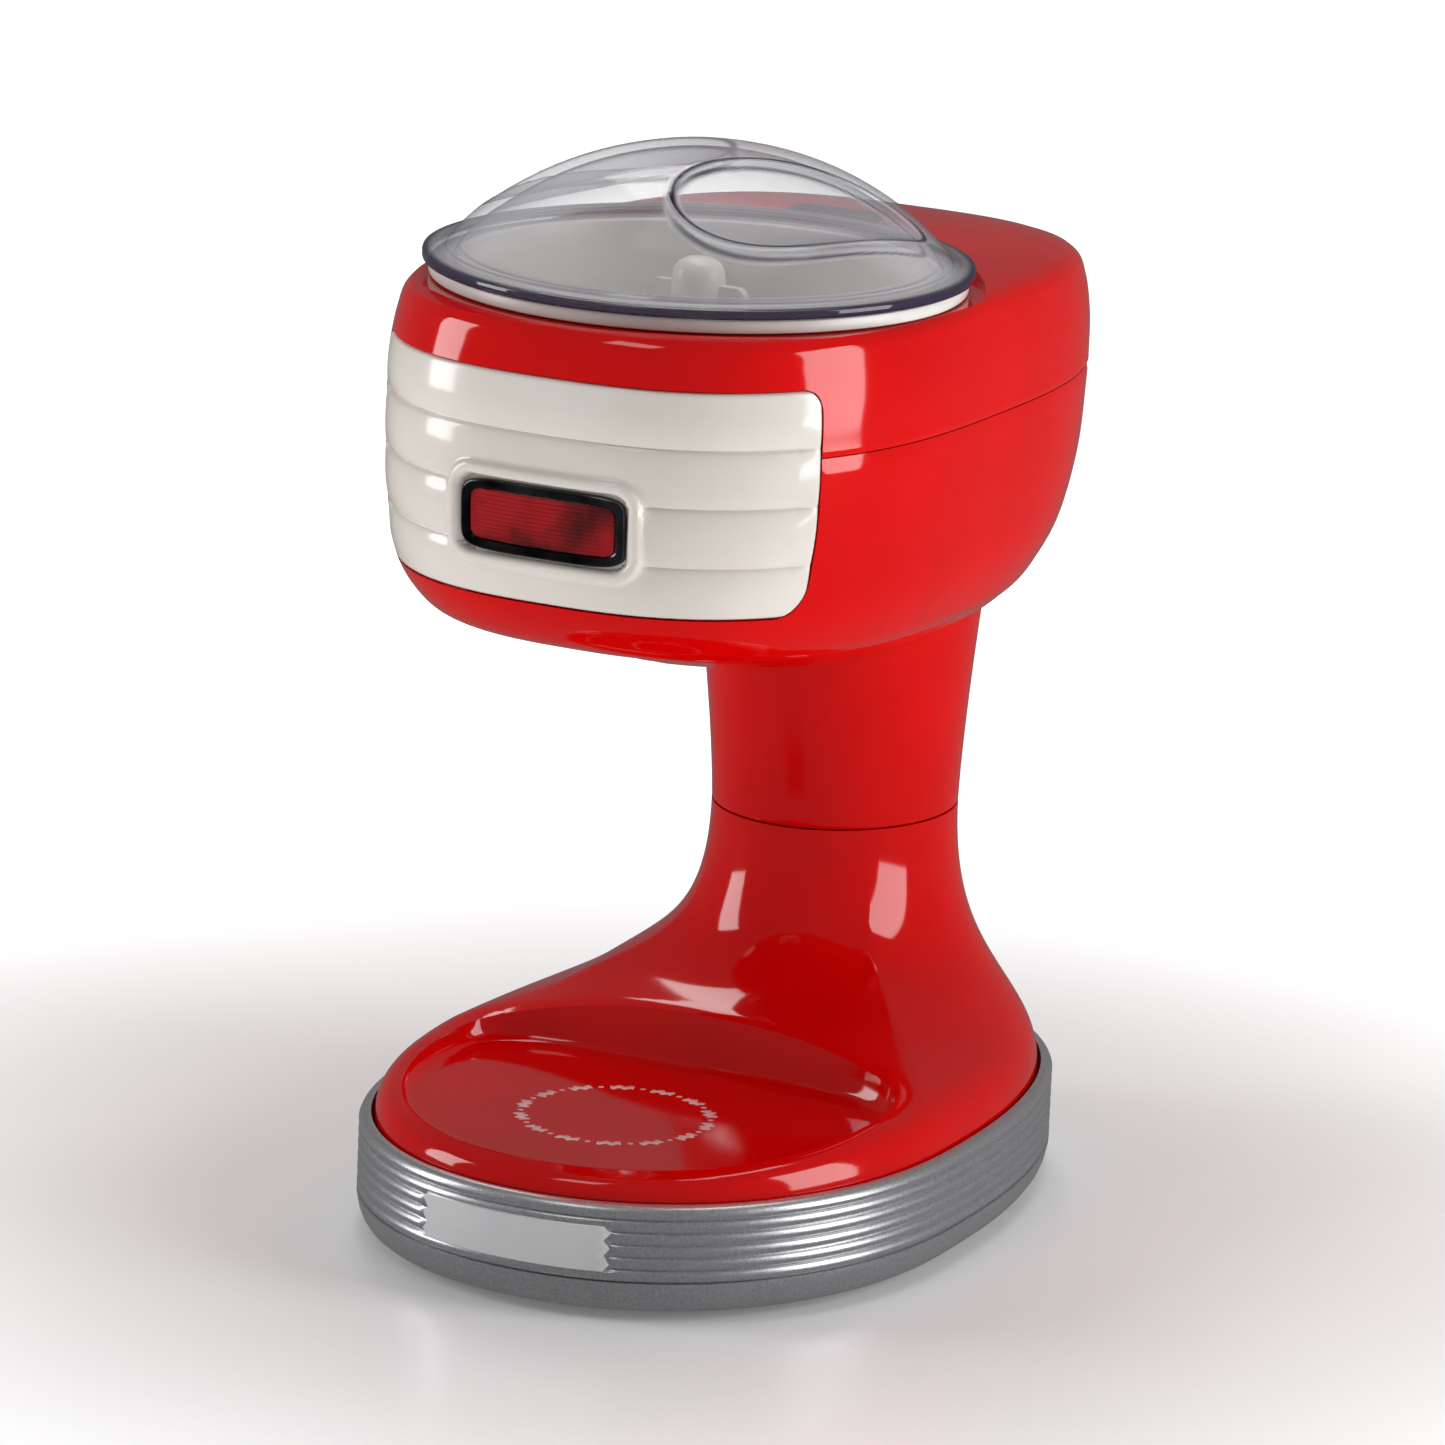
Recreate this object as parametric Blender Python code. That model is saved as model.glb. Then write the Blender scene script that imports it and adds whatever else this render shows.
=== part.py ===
"""Countertop ice shaver: a red body on a silver ribbed base, a clear lid, an ice bowl and its drive.

+Z is up, the front faces -Y, and the origin is under the middle of the footprint, on the table.
All sizes below are millimetres. MM turns them into metres where a mesh is made.
"""
import math

import bmesh
import bpy

MM = 0.001
GAP = 0.3             # clearance left between pieces that touch
RUNNING_GAP = 0.03    # radial clearance of a shaft that turns in a bore
WALL = 3.0            # wall of the red mouldings
STEPS = 36            # points round a large ring
ROUND = 16            # points round a small turned piece

# Base
BASE_HALF_WIDTH = 83.0
BASE_WIDEST_Y = -19.9
BASE_FRONT = 99.8
BASE_REAR = 139.6
BASE_POWERS = (2.11, 2.33)
BAND_TOP = 32.6
BAND_FLANGE_TOP = 5.4
BAND_WALL = 3.2
FLANGE_INSET = 12.0
SHELL_INSET = BAND_WALL + 1.0
SHELL_BOTTOM = 12.6
COVER_INSET = 9.0
COVER_BOTTOM = 5.7
COVER_TOP = 8.2
FOOT_PLACES = {
    "front_left": (-40.0, -78.0),
    "front_right": (40.0, -78.0),
    "rear_left": (-40.0, 76.0),
    "rear_right": (40.0, 76.0),
}
FOOT_RADIUS = 9.0
FOOT_SCREW_RADIUS = 1.5
LABEL_CENTRE_Z = 20.6
LABEL_HALF_WIDTH = 28.0
LABEL_HEIGHT = 13.0
LABEL_THICKNESS = 1.0

# Dish recess in the base
DISH_WIDEST_Y = -37.0
DISH_HALF_WIDTH = 66.5
DISH_FRONT = 75.5
DISH_REAR = 28.0
DISH_POWERS = (2.1, 3.5)
DISH_FLOOR = 38.6

# Neck
NECK_Y = 64.7
SEAM_Z = 100.0
NECK_HALF_WIDTH = 33.6
NECK_HALF_DEPTH = 38.0
NECK_TOP = 158.2

# Head: height, half width, widest y, front y, rear y, front power, rear power
HEAD_BOTTOM = 158.5
HEAD_SEAM = 232.0
HEAD_LIP = 262.5
LOWER_RINGS = (
    (HEAD_BOTTOM, 40.5, 42.0, -22.0, 106.6, 2.2, 2.3),
    (160.5, 44.0, 30.0, -34.0, 106.4, 2.4, 2.25),
    (164.5, 51.0, 16.0, -54.0, 106.0, 2.6, 2.2),
    (171.0, 61.0, 6.0, -83.0, 105.5, 2.7, 2.2),
    (179.0, 69.0, -1.0, -104.0, 105.3, 2.7, 2.3),
    (190.0, 74.0, -6.0, -113.0, 105.6, 2.65, 2.55),
    (207.0, 76.4, -9.0, -115.6, 106.4, 2.65, 2.85),
    (HEAD_SEAM, 77.3, -10.0, -116.0, 107.2, 2.65, 3.0),
)
UPPER_RINGS = (
    (HEAD_SEAM + GAP, 77.3, -10.0, -116.0, 107.2, 2.65, 3.0),
    (247.0, 76.8, -10.0, -115.5, 107.0, 2.65, 3.0),
    (256.0, 75.4, -10.0, -113.6, 105.4, 2.65, 3.0),
    (260.5, 74.2, -10.0, -112.0, 103.0, 2.65, 3.0),
    (HEAD_LIP, 72.6, -10.0, -110.4, 100.0, 2.65, 3.0),
)
CROWN_RINGS = ((264.0, 0.94), (265.3, 0.82), (266.2, 0.6))  # height and share of the lip ring
CROWN_CENTRE_Y = 40.0

# Front panel and badge
PANEL_BOTTOM = 190.0
PANEL_TOP = 250.0
PANEL_SIDE_Y = -84.0
PANEL_THICKNESS = 1.8
BADGE_CENTRE_Z = 212.0
BADGE_HALF_WIDTH = 24.0
BADGE_HEIGHT = 19.0
BADGE_FRONT = -116.0
LENS_INSET = 2.6

# Bowl, rotor, blade and lid share one vertical axis
BOWL_Y = -32.0
OPENING_RADIUS = 76.0
MOUTH_RADIUS = 68.6
BOWL_RIM_RADIUS = 71.6
BOWL_RADIUS = 66.5
BOWL_FLOOR_RADIUS = 58.0
BOWL_FLOOR = 200.0
BOWL_WALL = 2.6
BOWL_RIM_BOTTOM = HEAD_LIP + GAP
BOWL_RIM_TOP = 266.4
COLLAR_TOP = 209.0
LID_FLANGE_BOTTOM = BOWL_RIM_TOP + GAP
LID_FLANGE_TOP = 269.4
LID_FLANGE_RADIUS = 73.4
LID_FOOT_RADIUS = 67.6
LID_APEX = 299.2
LID_WALL = 2.2
SCOOP_DEPTH = 13.0
SCOOP_X = 38.0
SCOOP_Y = 10.0        # behind the bowl axis
SCOOP_HALF_WIDTH = 23.0
SCOOP_HALF_LENGTH = 40.0
TONGUE_HALF_WIDTH = 12.0
TONGUE_REAR = 84.5    # behind the bowl axis

# Drive train: each wheel has teeth, a module and a level
OUTPUT_TEETH = 30
IDLER_TEETH = 20
SMALL_TEETH = 14
LARGE_TEETH = 56
PINION_TEETH = 12
SLOW_MODULE = 1.5
FAST_MODULE = 1.0
SLOW_LEVEL = (174.8, 181.8)
FAST_LEVEL = (183.2, 188.4)
MOTOR_Y = 62.0
IDLER_X = 7.0
DRIVE_SHAFT_RADIUS = 4.0
PIN_RADIUS = 2.0
BORE_STEPS = 12
MOTOR_RADIUS = 20.5
MOTOR_BOTTOM = 194.0
MOTOR_TOP = 233.0
TRAY_BOTTOM = 169.5
TRAY_TOP = 172.0
GEAR_COVER_BOTTOM = 190.4
GEAR_COVER_TOP = 192.6
GEARBOX_HALF_WIDTH = 36.5
GEARBOX_FRONT = -59.5
GEARBOX_REAR = 88.0
GEARBOX_WALL = 2.2
POST_PLACES = ((-25.5, -41.0), (25.5, -41.0), (-25.5, 69.5), (25.5, 69.5))
LEG_PLACES = ((-30.0, 5.0), (30.0, 5.0), (-33.3, 45.0), (33.3, 45.0))

# Switch
PLUNGER_Y = 49.0
SWITCH_HALF_WIDTH = 9.7
SWITCH_BOTTOM = 240.2
SWITCH_TOP = 246.0


def clear_scene():
    for old in list(bpy.data.objects):
        bpy.data.objects.remove(old, do_unlink=True)


def material(name, colour, roughness, metallic=0.0, alpha=1.0):
    paint = bpy.data.materials.new(name)
    paint.use_nodes = True
    shader = paint.node_tree.nodes["Principled BSDF"]
    shader.inputs["Base Color"].default_value = (*colour, 1.0)
    shader.inputs["Roughness"].default_value = roughness
    shader.inputs["Metallic"].default_value = metallic
    shader.inputs["Alpha"].default_value = alpha
    return paint


def add_piece(name, points, faces, finish, pivot=(0.0, 0.0, 0.0)):
    """Make an object from points in millimetres, with its origin at the pivot and its faces outwards."""
    mesh = bpy.data.meshes.new(name)
    local = [tuple((p[k] - pivot[k]) * MM for k in range(3)) for p in points]
    mesh.from_pydata(local, [], faces)
    shape = bmesh.new()
    shape.from_mesh(mesh)
    bmesh.ops.remove_doubles(shape, verts=shape.verts, dist=0.00001)
    bmesh.ops.recalc_face_normals(shape, faces=shape.faces)
    shape.to_mesh(mesh)
    shape.free()
    mesh.shade_smooth()
    mesh.set_sharp_from_angle(angle=math.radians(35.0))
    mesh.materials.append(finish)
    piece = bpy.data.objects.new(name, mesh)
    piece.location = tuple(value * MM for value in pivot)
    bpy.context.scene.collection.objects.link(piece)
    return piece


def loft(name, rings, finish, pivot=(0.0, 0.0, 0.0), closed=False):
    """Skin a list of rings; a closed loft joins the last ring to the first, an open one is capped."""
    count = len(rings[0])
    points = [point for ring in rings for point in ring]
    spans = len(rings) if closed else len(rings) - 1
    faces = []
    for level in range(spans):
        low = level * count
        high = (level + 1) % len(rings) * count
        for i in range(count):
            j = (i + 1) % count
            faces.append((low + i, low + j, high + j, high + i))
    if not closed:
        faces.append(tuple(reversed(range(count))))
        faces.append(tuple(range(len(points) - count, len(points))))
    return add_piece(name, points, faces, finish, pivot)


def circle(radius, centre, z, steps=ROUND):
    turns = [2.0 * math.pi * i / steps for i in range(steps)]
    return [(centre[0] + radius * math.cos(t), centre[1] + radius * math.sin(t), z) for t in turns]


def turned(name, profile, centre, finish, steps=ROUND, pivot=(0.0, 0.0, 0.0), closed=False):
    """Turn a list of (radius, height) pairs about a vertical axis."""
    rings = [circle(radius, centre, z, steps) for radius, z in profile]
    return loft(name, rings, finish, pivot, closed)


def prism(name, outline, low, high, finish, pivot=(0.0, 0.0, 0.0)):
    """Extrude a plan outline of (x, y) pairs between two heights."""
    rings = [[(x, y, z) for x, y in outline] for z in (low, high)]
    return loft(name, rings, finish, pivot)


def box(name, low, high, finish, pivot=(0.0, 0.0, 0.0)):
    outline = ((low[0], low[1]), (high[0], low[1]), (high[0], high[1]), (low[0], high[1]))
    return prism(name, outline, low[2], high[2], finish, pivot)


def signed_power(value, power):
    return math.copysign(abs(value) ** power, value)


def oval(half_width, widest_y, front, rear, powers, z, steps=STEPS):
    """Ring of a superellipse whose front and rear halves have their own length and power."""
    ring = []
    for i in range(steps):
        turn = 2.0 * math.pi * (i + 0.5) / steps
        length, power = (rear, powers[1]) if math.sin(turn) > 0.0 else (front, powers[0])
        x = half_width * signed_power(math.cos(turn), 2.0 / power)
        y = widest_y + length * signed_power(math.sin(turn), 2.0 / power)
        ring.append((x, y, z))
    return ring


def base_ring(inset, z):
    """The base outline, moved inwards by the inset."""
    return oval(BASE_HALF_WIDTH - inset, BASE_WIDEST_Y, BASE_FRONT - inset, BASE_REAR - inset,
                BASE_POWERS, z)


def dish_ring(offset, z):
    """The dish outline, moved outwards by the offset."""
    return oval(DISH_HALF_WIDTH + offset, DISH_WIDEST_Y, DISH_FRONT + offset, DISH_REAR + offset,
                DISH_POWERS, z, 32)


def head_ring(row, inset=0.0, lift=0.0):
    """One ring of the head, from its row of sizes, moved inwards by the inset."""
    z, half_width, widest_y, front_y, rear_y, front_power, rear_power = row
    return oval(half_width - inset, widest_y, widest_y - front_y - inset, rear_y - widest_y - inset,
                (front_power, rear_power), z + lift)


def neck_ring(z, inset=0.0):
    """The neck's oval: it widens towards the head, most of all at its front."""
    rise = max(0.0, (z - SEAM_Z) / (NECK_TOP - SEAM_Z)) ** 1.4
    half_width = NECK_HALF_WIDTH + 4.4 * rise - inset
    front = NECK_HALF_DEPTH + 10.0 * rise - inset
    rear = NECK_HALF_DEPTH + 2.6 * rise - inset
    return oval(half_width, NECK_Y, front, rear, (2.0, 2.0), z)


def reach(angle, half_width, widest_y, front, rear, powers):
    """Distance from the neck's axis to an oval outline in one direction, by halving."""
    near, far = 0.0, 260.0
    for _ in range(40):
        middle = 0.5 * (near + far)
        x = middle * math.cos(angle)
        y = NECK_Y + middle * math.sin(angle) - widest_y
        length, power = (rear, powers[1]) if y > 0.0 else (front, powers[0])
        inside = abs(x / half_width) ** power + abs(y / length) ** power < 1.0
        near, far = (middle, far) if inside else (near, middle)
    return near


def bezier(p0, p1, p2, p3, t):
    """Point and direction of a cubic curve in the (radius, height) plane."""
    u = 1.0 - t
    point = [u ** 3 * a + 3 * u * u * t * b + 3 * u * t * t * c + t ** 3 * d
             for a, b, c, d in zip(p0, p1, p2, p3)]
    slope = [3 * u * u * (b - a) + 6 * u * t * (c - b) + 3 * t * t * (d - c)
             for a, b, c, d in zip(p0, p1, p2, p3)]
    return point, slope


def flare_profile(angle, wall):
    """The base shell's outer side in one direction from the neck's axis, bottom to top.

    It rises from the band, rounds over a shoulder, runs up a slope that is steep at the back and
    shallow at the front, and sweeps up into the neck. The wall moves it inwards along its normal.
    """
    rim = reach(angle, BASE_HALF_WIDTH - SHELL_INSET, BASE_WIDEST_Y, BASE_FRONT - SHELL_INSET,
                BASE_REAR - SHELL_INSET, BASE_POWERS)
    neck = reach(angle, NECK_HALF_WIDTH, NECK_Y, NECK_HALF_DEPTH, NECK_HALF_DEPTH, (2.0, 2.0))
    run = rim - neck
    frontness = 0.5 - 0.5 * math.sin(angle)
    slope = 36.0 / run
    saddle_r = neck + min(0.48 * run, 40.0)
    saddle_z = 58.5 - 6.0 * frontness
    shoulder = min(20.0, 9.0 + 0.08 * run)
    half = 0.5 * (saddle_r - neck)
    outer = min(0.5 * (rim - saddle_r), 45.0)
    lower = ((rim, BAND_TOP), (rim - 1.0, BAND_TOP + shoulder),
             (saddle_r + outer, saddle_z - slope * outer), (saddle_r, saddle_z))
    upper = ((saddle_r, saddle_z), (saddle_r - half, saddle_z + slope * half),
             (neck, saddle_z + (0.55 - 0.4 * frontness) * (SEAM_Z - saddle_z)), (neck, SEAM_Z))
    profile = [(rim - wall, SHELL_BOTTOM)]
    for curve, stops in ((lower, (0.0, 0.2, 0.4, 0.65, 1.0)), (upper, (0.25, 0.5, 0.75, 1.0))):
        for t in stops:
            (r, z), (dr, dz) = bezier(*curve, t)
            length = math.hypot(dr, dz)
            profile.append((r - wall * dz / length, z + wall * dr / length))
    return profile


def flare_rings(wall):
    rings = None
    for i in range(STEPS):
        angle = 2.0 * math.pi * (i + 0.5) / STEPS
        profile = flare_profile(angle, wall)
        if rings is None:
            rings = [[] for _ in profile]
        for ring, (r, z) in zip(rings, profile):
            ring.append((r * math.cos(angle), NECK_Y + r * math.sin(angle), z))
    return rings


def boolean(target, tool, operation):
    """Cut or join a piece with a tool body, which stays in the scene as a hidden wire guide."""
    step = target.modifiers.new(tool.name, "BOOLEAN")
    step.operation = operation
    step.solver = "EXACT"
    step.object = tool
    tool.hide_render = True
    tool.display_type = "WIRE"


def cut(target, *tools):
    for tool in tools:
        boolean(target, tool, "DIFFERENCE")


def join(target, *tools):
    for tool in tools:
        boolean(target, tool, "UNION")


def make_base(red, silver, white, black, rubber, steel):
    """Band, base shell with its dish recess, bottom cover, feet with their screws, and cord gland."""
    band = loft("base_band", [
        base_ring(6.0, 2.4), base_ring(2.4, 4.4), base_ring(0.6, 7.6), base_ring(0.0, 11.6),
        base_ring(0.0, 30.4), base_ring(1.0, 32.0), base_ring(2.8, BAND_TOP),
        base_ring(BAND_WALL, BAND_TOP), base_ring(BAND_WALL, 12.0), base_ring(7.4, BAND_FLANGE_TOP),
        base_ring(FLANGE_INSET, BAND_FLANGE_TOP), base_ring(FLANGE_INSET, 2.4),
    ], silver, closed=True)

    shell = loft("base_shell", flare_rings(0.0), red)
    hollow_rings = flare_rings(WALL)
    below = [(x, y, SHELL_BOTTOM - 5.0) for x, y, z in hollow_rings[0]]
    above = [(x, y, SEAM_Z + 5.0) for x, y, z in hollow_rings[-1]]
    hollow = loft("base_hollow_guide", [below] + hollow_rings + [above], red)
    dish = loft("dish_guide", [
        dish_ring(-5.0, DISH_FLOOR), dish_ring(-2.2, DISH_FLOOR + 0.8), dish_ring(-0.6, DISH_FLOOR + 2.6),
        dish_ring(0.4, DISH_FLOOR + 7.0), dish_ring(1.6, DISH_FLOOR + 16.0), dish_ring(3.0, 82.0),
    ], red)
    backing = loft("dish_backing_guide", [
        dish_ring(-4.0, DISH_FLOOR - WALL), dish_ring(WALL, DISH_FLOOR + 2.0), dish_ring(WALL + 2.0, 85.0),
    ], red)
    cut(hollow, backing)
    cut(shell, hollow, dish)

    cover = loft("bottom_cover", [base_ring(COVER_INSET, COVER_BOTTOM), base_ring(COVER_INSET, COVER_TOP)],
                 black)
    for side, place in FOOT_PLACES.items():
        turned(f"foot_{side}", [
            (FOOT_RADIUS - 1.0, 0.0), (FOOT_RADIUS, 1.0), (FOOT_RADIUS, COVER_BOTTOM - GAP),
            (1.8, COVER_BOTTOM - GAP), (1.8, 2.6), (4.0, 2.6), (4.0, 0.0),
        ], place, rubber, 16, closed=True)
        turned(f"foot_screw_{side}", [
            (3.2, 0.8), (3.4, 2.3), (FOOT_SCREW_RADIUS, 2.3), (FOOT_SCREW_RADIUS, 13.0), (0.6, 14.0),
        ], place, steel, 10)
        cut(cover, turned(f"foot_hole_guide_{side}", [(1.8, 0.0), (1.8, 20.0)], place, black, 10))

    gland = cylinder_y("cord_gland", 6.0, (0.0, 19.0), 113.5, 119.6, rubber)
    cut(gland, cylinder_y("cord_hole_guide", 3.0, (0.0, 19.0), 100.0, 130.0, rubber))
    wall_hole = cylinder_y("gland_hole_guide", 6.0 + GAP, (0.0, 19.0), 100.0, 130.0, rubber)
    cut(band, wall_hole)
    cut(shell, wall_hole)

    outline = []
    for x in (-LABEL_HALF_WIDTH, -14.0, 0.0, 14.0, LABEL_HALF_WIDTH):
        outline.append((x, base_front(x) - GAP))
    for x in (LABEL_HALF_WIDTH, 14.0, 0.0, -14.0, -LABEL_HALF_WIDTH):
        outline.append((x, base_front(x) - GAP + 1.0 + LABEL_THICKNESS))
    low = LABEL_CENTRE_Z - 0.5 * LABEL_HEIGHT
    high = LABEL_CENTRE_Z + 0.5 * LABEL_HEIGHT
    prism("label_plate", outline, low, high, white)
    pocket = prism("label_pocket_guide", grown(outline, -6.0), low - GAP, high + GAP, white)
    cut(band, pocket)


def base_front(x):
    """y of the base outline's front at one x."""
    share = 1.0 - abs(x / BASE_HALF_WIDTH) ** BASE_POWERS[0]
    return BASE_WIDEST_Y - BASE_FRONT * share ** (1.0 / BASE_POWERS[0])


def grown(outline, forward):
    """The label outline, wider by the gap, its front moved out to cut the band's face away."""
    middle = len(outline) // 2
    spread = (LABEL_HALF_WIDTH + GAP) / LABEL_HALF_WIDTH
    front = [(x * spread, y + forward) for x, y in outline[:middle]]
    rear = [(x * spread, y + GAP) for x, y in outline[middle:]]
    return front + rear


def cylinder_y(name, radius, centre, low, high, finish, steps=16):
    """A cylinder along Y, centred at (x, z)."""
    rings = []
    for y in (low, high):
        turns = [2.0 * math.pi * i / steps for i in range(steps)]
        rings.append([(centre[0] + radius * math.cos(t), y, centre[1] + radius * math.sin(t)) for t in turns])
    return loft(name, rings, finish)


def make_neck(red, black):
    """Neck column, and the sleeve inside that lines it up with the base shell."""
    heights = (SEAM_Z + GAP, 118.0, 138.0, NECK_TOP)
    outer = [neck_ring(z) for z in heights]
    inner = [neck_ring(z, WALL) for z in reversed(heights)]
    loft("neck_column", outer + inner, red, closed=True)
    heights = (84.0, 112.0)
    slack = WALL + GAP
    outer = [neck_ring(SEAM_Z, slack + 0.2)] * 2
    inner = [neck_ring(SEAM_Z, slack + 2.4)] * 2
    rings = [moved(ring, z) for ring, z in zip(outer + inner, heights + heights[::-1])]
    loft("neck_sleeve", rings, black, closed=True)


def make_head(red, ivory, chrome, lens_red, white):
    """Lower shell, top cover, front panel, badge and ice chute."""
    lower = loft("head_lower_shell", [head_ring(row) for row in LOWER_RINGS], red)
    inner = [head_ring(row, WALL, WALL if i == 0 else 1.5) for i, row in enumerate(LOWER_RINGS[:-1])]
    inner.append(head_ring(LOWER_RINGS[-1], WALL, 5.0))
    cut(lower, loft("lower_hollow_guide", inner, red))
    bore_plan = neck_ring(NECK_TOP, WALL + 5.0)
    cut(lower, loft("neck_bore_guide", [moved(bore_plan, 150.0), moved(bore_plan, 166.0)], red))

    lip = head_ring(UPPER_RINGS[-1])
    crown = [shrunk(lip, share, z) for z, share in CROWN_RINGS]
    top = loft("head_top_cover", [head_ring(row) for row in UPPER_RINGS] + crown, red)
    inner = [head_ring(UPPER_RINGS[0], WALL, -5.0)]
    inner += [head_ring(row, WALL) for row in UPPER_RINGS[1:-2]]
    inner.append(head_ring(UPPER_RINGS[-2], WALL + 1.0, -1.0))
    cut(top, loft("top_hollow_guide", inner, red))
    axis = (0.0, BOWL_Y)
    above = LID_FLANGE_TOP + 20.0
    recess = turned("recess_guide", [(OPENING_RADIUS, HEAD_LIP), (OPENING_RADIUS, above)], axis, red, STEPS)
    mouth = turned("mouth_guide", [(MOUTH_RADIUS, HEAD_SEAM), (MOUTH_RADIUS, above)], axis, red, STEPS)
    notch_low = (-TONGUE_HALF_WIDTH - 2.0, PLUNGER_Y - 14.0, HEAD_LIP)
    notch_high = (TONGUE_HALF_WIDTH + 2.0, PLUNGER_Y + 7.0, above)
    notch = box("notch_guide", notch_low, notch_high, red)
    pin_radius = 2.5 + GAP
    pin_profile = [(pin_radius, HEAD_SEAM), (pin_radius, above)]
    pin_hole = turned("pin_hole_guide", pin_profile, (0.0, PLUNGER_Y), red, 12)
    cut(top, recess, mouth, notch, pin_hole)

    panel = make_panel(ivory)
    pocket = front_slab("panel_pocket_guide", GAP, -GAP - PANEL_THICKNESS, 8.0, ivory)
    cut(lower, pocket)
    cut(top, pocket)
    frame_low = BADGE_CENTRE_Z - 0.5 * BADGE_HEIGHT
    frame_high = BADGE_CENTRE_Z + 0.5 * BADGE_HEIGHT
    badge_rear = BADGE_FRONT + 1.6
    frame = box("badge_frame", (-BADGE_HALF_WIDTH, BADGE_FRONT - 0.6, frame_low),
                (BADGE_HALF_WIDTH, badge_rear, frame_high), chrome)
    lens_low = (-BADGE_HALF_WIDTH + LENS_INSET, BADGE_FRONT - 1.0, frame_low + LENS_INSET)
    lens_high = (BADGE_HALF_WIDTH - LENS_INSET, BADGE_FRONT + 0.8, frame_high - LENS_INSET)
    box("badge_lens", lens_low, lens_high, lens_red)
    cut(frame, widened("lens_pocket_guide", lens_low, lens_high, GAP, -4.0, chrome))
    badge_low = (-BADGE_HALF_WIDTH, BADGE_FRONT - 6.0, frame_low)
    badge_high = (BADGE_HALF_WIDTH, badge_rear, frame_high)
    hole = widened("badge_hole_guide", badge_low, badge_high, GAP, 0.0, ivory)
    cut(panel, hole)
    cut(lower, hole)

    chute_outer = [
        rectangle(18.0, -94.0, -50.0, 195.8),
        rectangle(18.0, -94.0, -60.4, 193.4),
        rectangle(18.0, -94.0, -60.4, 176.6, 167.4),
    ]
    chute_inner = [
        rectangle(15.8, -91.8, -62.6, 176.6, 167.4),
        rectangle(15.8, -91.8, -62.6, 193.4),
        rectangle(15.8, -91.8, -52.8, 195.8),
    ]
    loft("ice_chute", chute_outer + chute_inner, white, closed=True)
    outlet = loft("outlet_guide", [rectangle(18.6, -94.6, -59.9, z) for z in (140.0, 186.0)], red)
    cut(lower, outlet)


def rectangle(half_width, front, rear, z, rear_z=None):
    """Four corners of a rectangle; its rear edge may lie at another height."""
    back = z if rear_z is None else rear_z
    return [(-half_width, front, z), (half_width, front, z), (half_width, rear, back),
            (-half_width, rear, back)]


def moved(ring, z):
    """The ring at another height."""
    return [(x, y, z) for x, y, _ in ring]


def shrunk(ring, share, z):
    """The ring drawn in towards the crown's centre, at a new height."""
    return [(x * share, CROWN_CENTRE_Y + (y - CROWN_CENTRE_Y) * share, z) for x, y, _ in ring]


def widened(name, low, high, margin, forward, finish):
    """A box grown by a margin, and pushed out at its front."""
    grown_low = (low[0] - margin, low[1] - margin + min(forward, 0.0), low[2] - margin)
    grown_high = (high[0] + margin, high[1] + margin, high[2] + margin)
    return box(name, grown_low, grown_high, finish)


def panel_edge(proud, z):
    """Plan points along the head's front at one height, from the panel's left edge to its right."""
    rows = LOWER_RINGS + UPPER_RINGS[1:]
    for below, above in zip(rows, rows[1:]):
        if below[0] <= z <= above[0]:
            share = (z - below[0]) / (above[0] - below[0])
            row = [a + (b - a) * share for a, b in zip(below, above)]
    _, half_width, widest_y, front_y, _, power, _ = row
    length = widest_y - front_y + proud
    half_width = half_width + proud
    side = ((widest_y - PANEL_SIDE_Y) / length) ** (0.5 * power)
    start = math.asin(side)
    turns = [math.pi + start + (math.pi - 2.0 * start) * i / 16.0 for i in range(17)]
    points = []
    for turn in turns:
        x = half_width * signed_power(math.cos(turn), 2.0 / power)
        y = widest_y + length * signed_power(math.sin(turn), 2.0 / power)
        points.append((x, y, z))
    return points


def front_slab(name, margin, inner, outer, finish):
    """A slab that follows the head's front, between an inner and an outer offset from its surface."""
    heights = [PANEL_BOTTOM - margin, 207.0, HEAD_SEAM, 247.0, PANEL_TOP + margin]
    rings = []
    for z in heights:
        front = panel_edge(outer, z)
        back = panel_edge(inner, z)
        front = [(x * (1.0 + 0.004 * margin), y, z) for x, y, _ in front]
        rings.append(front + back[::-1])
    return loft(name, rings, finish)


def make_panel(ivory):
    return front_slab("front_panel", 0.0, -PANEL_THICKNESS, 0.0, ivory)


def lid_height(radius, x, y):
    """Height of the lid's outer dome: an arc, less a finger scoop on each side of the ridge."""
    share = min(1.0, radius / LID_FOOT_RADIUS)
    dome = LID_FLANGE_TOP + (LID_APEX - LID_FLANGE_TOP) * (1.0 - share ** 2.2) ** 0.85
    across = (abs(x) - SCOOP_X) / SCOOP_HALF_WIDTH
    along = (y - BOWL_Y - SCOOP_Y) / SCOOP_HALF_LENGTH
    scoop = max(0.0, 1.0 - across ** 2 - along ** 2)
    return dome - SCOOP_DEPTH * min(1.0, 2.4 * scoop) * min(1.0, 3.2 * (1.0 - share))


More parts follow.
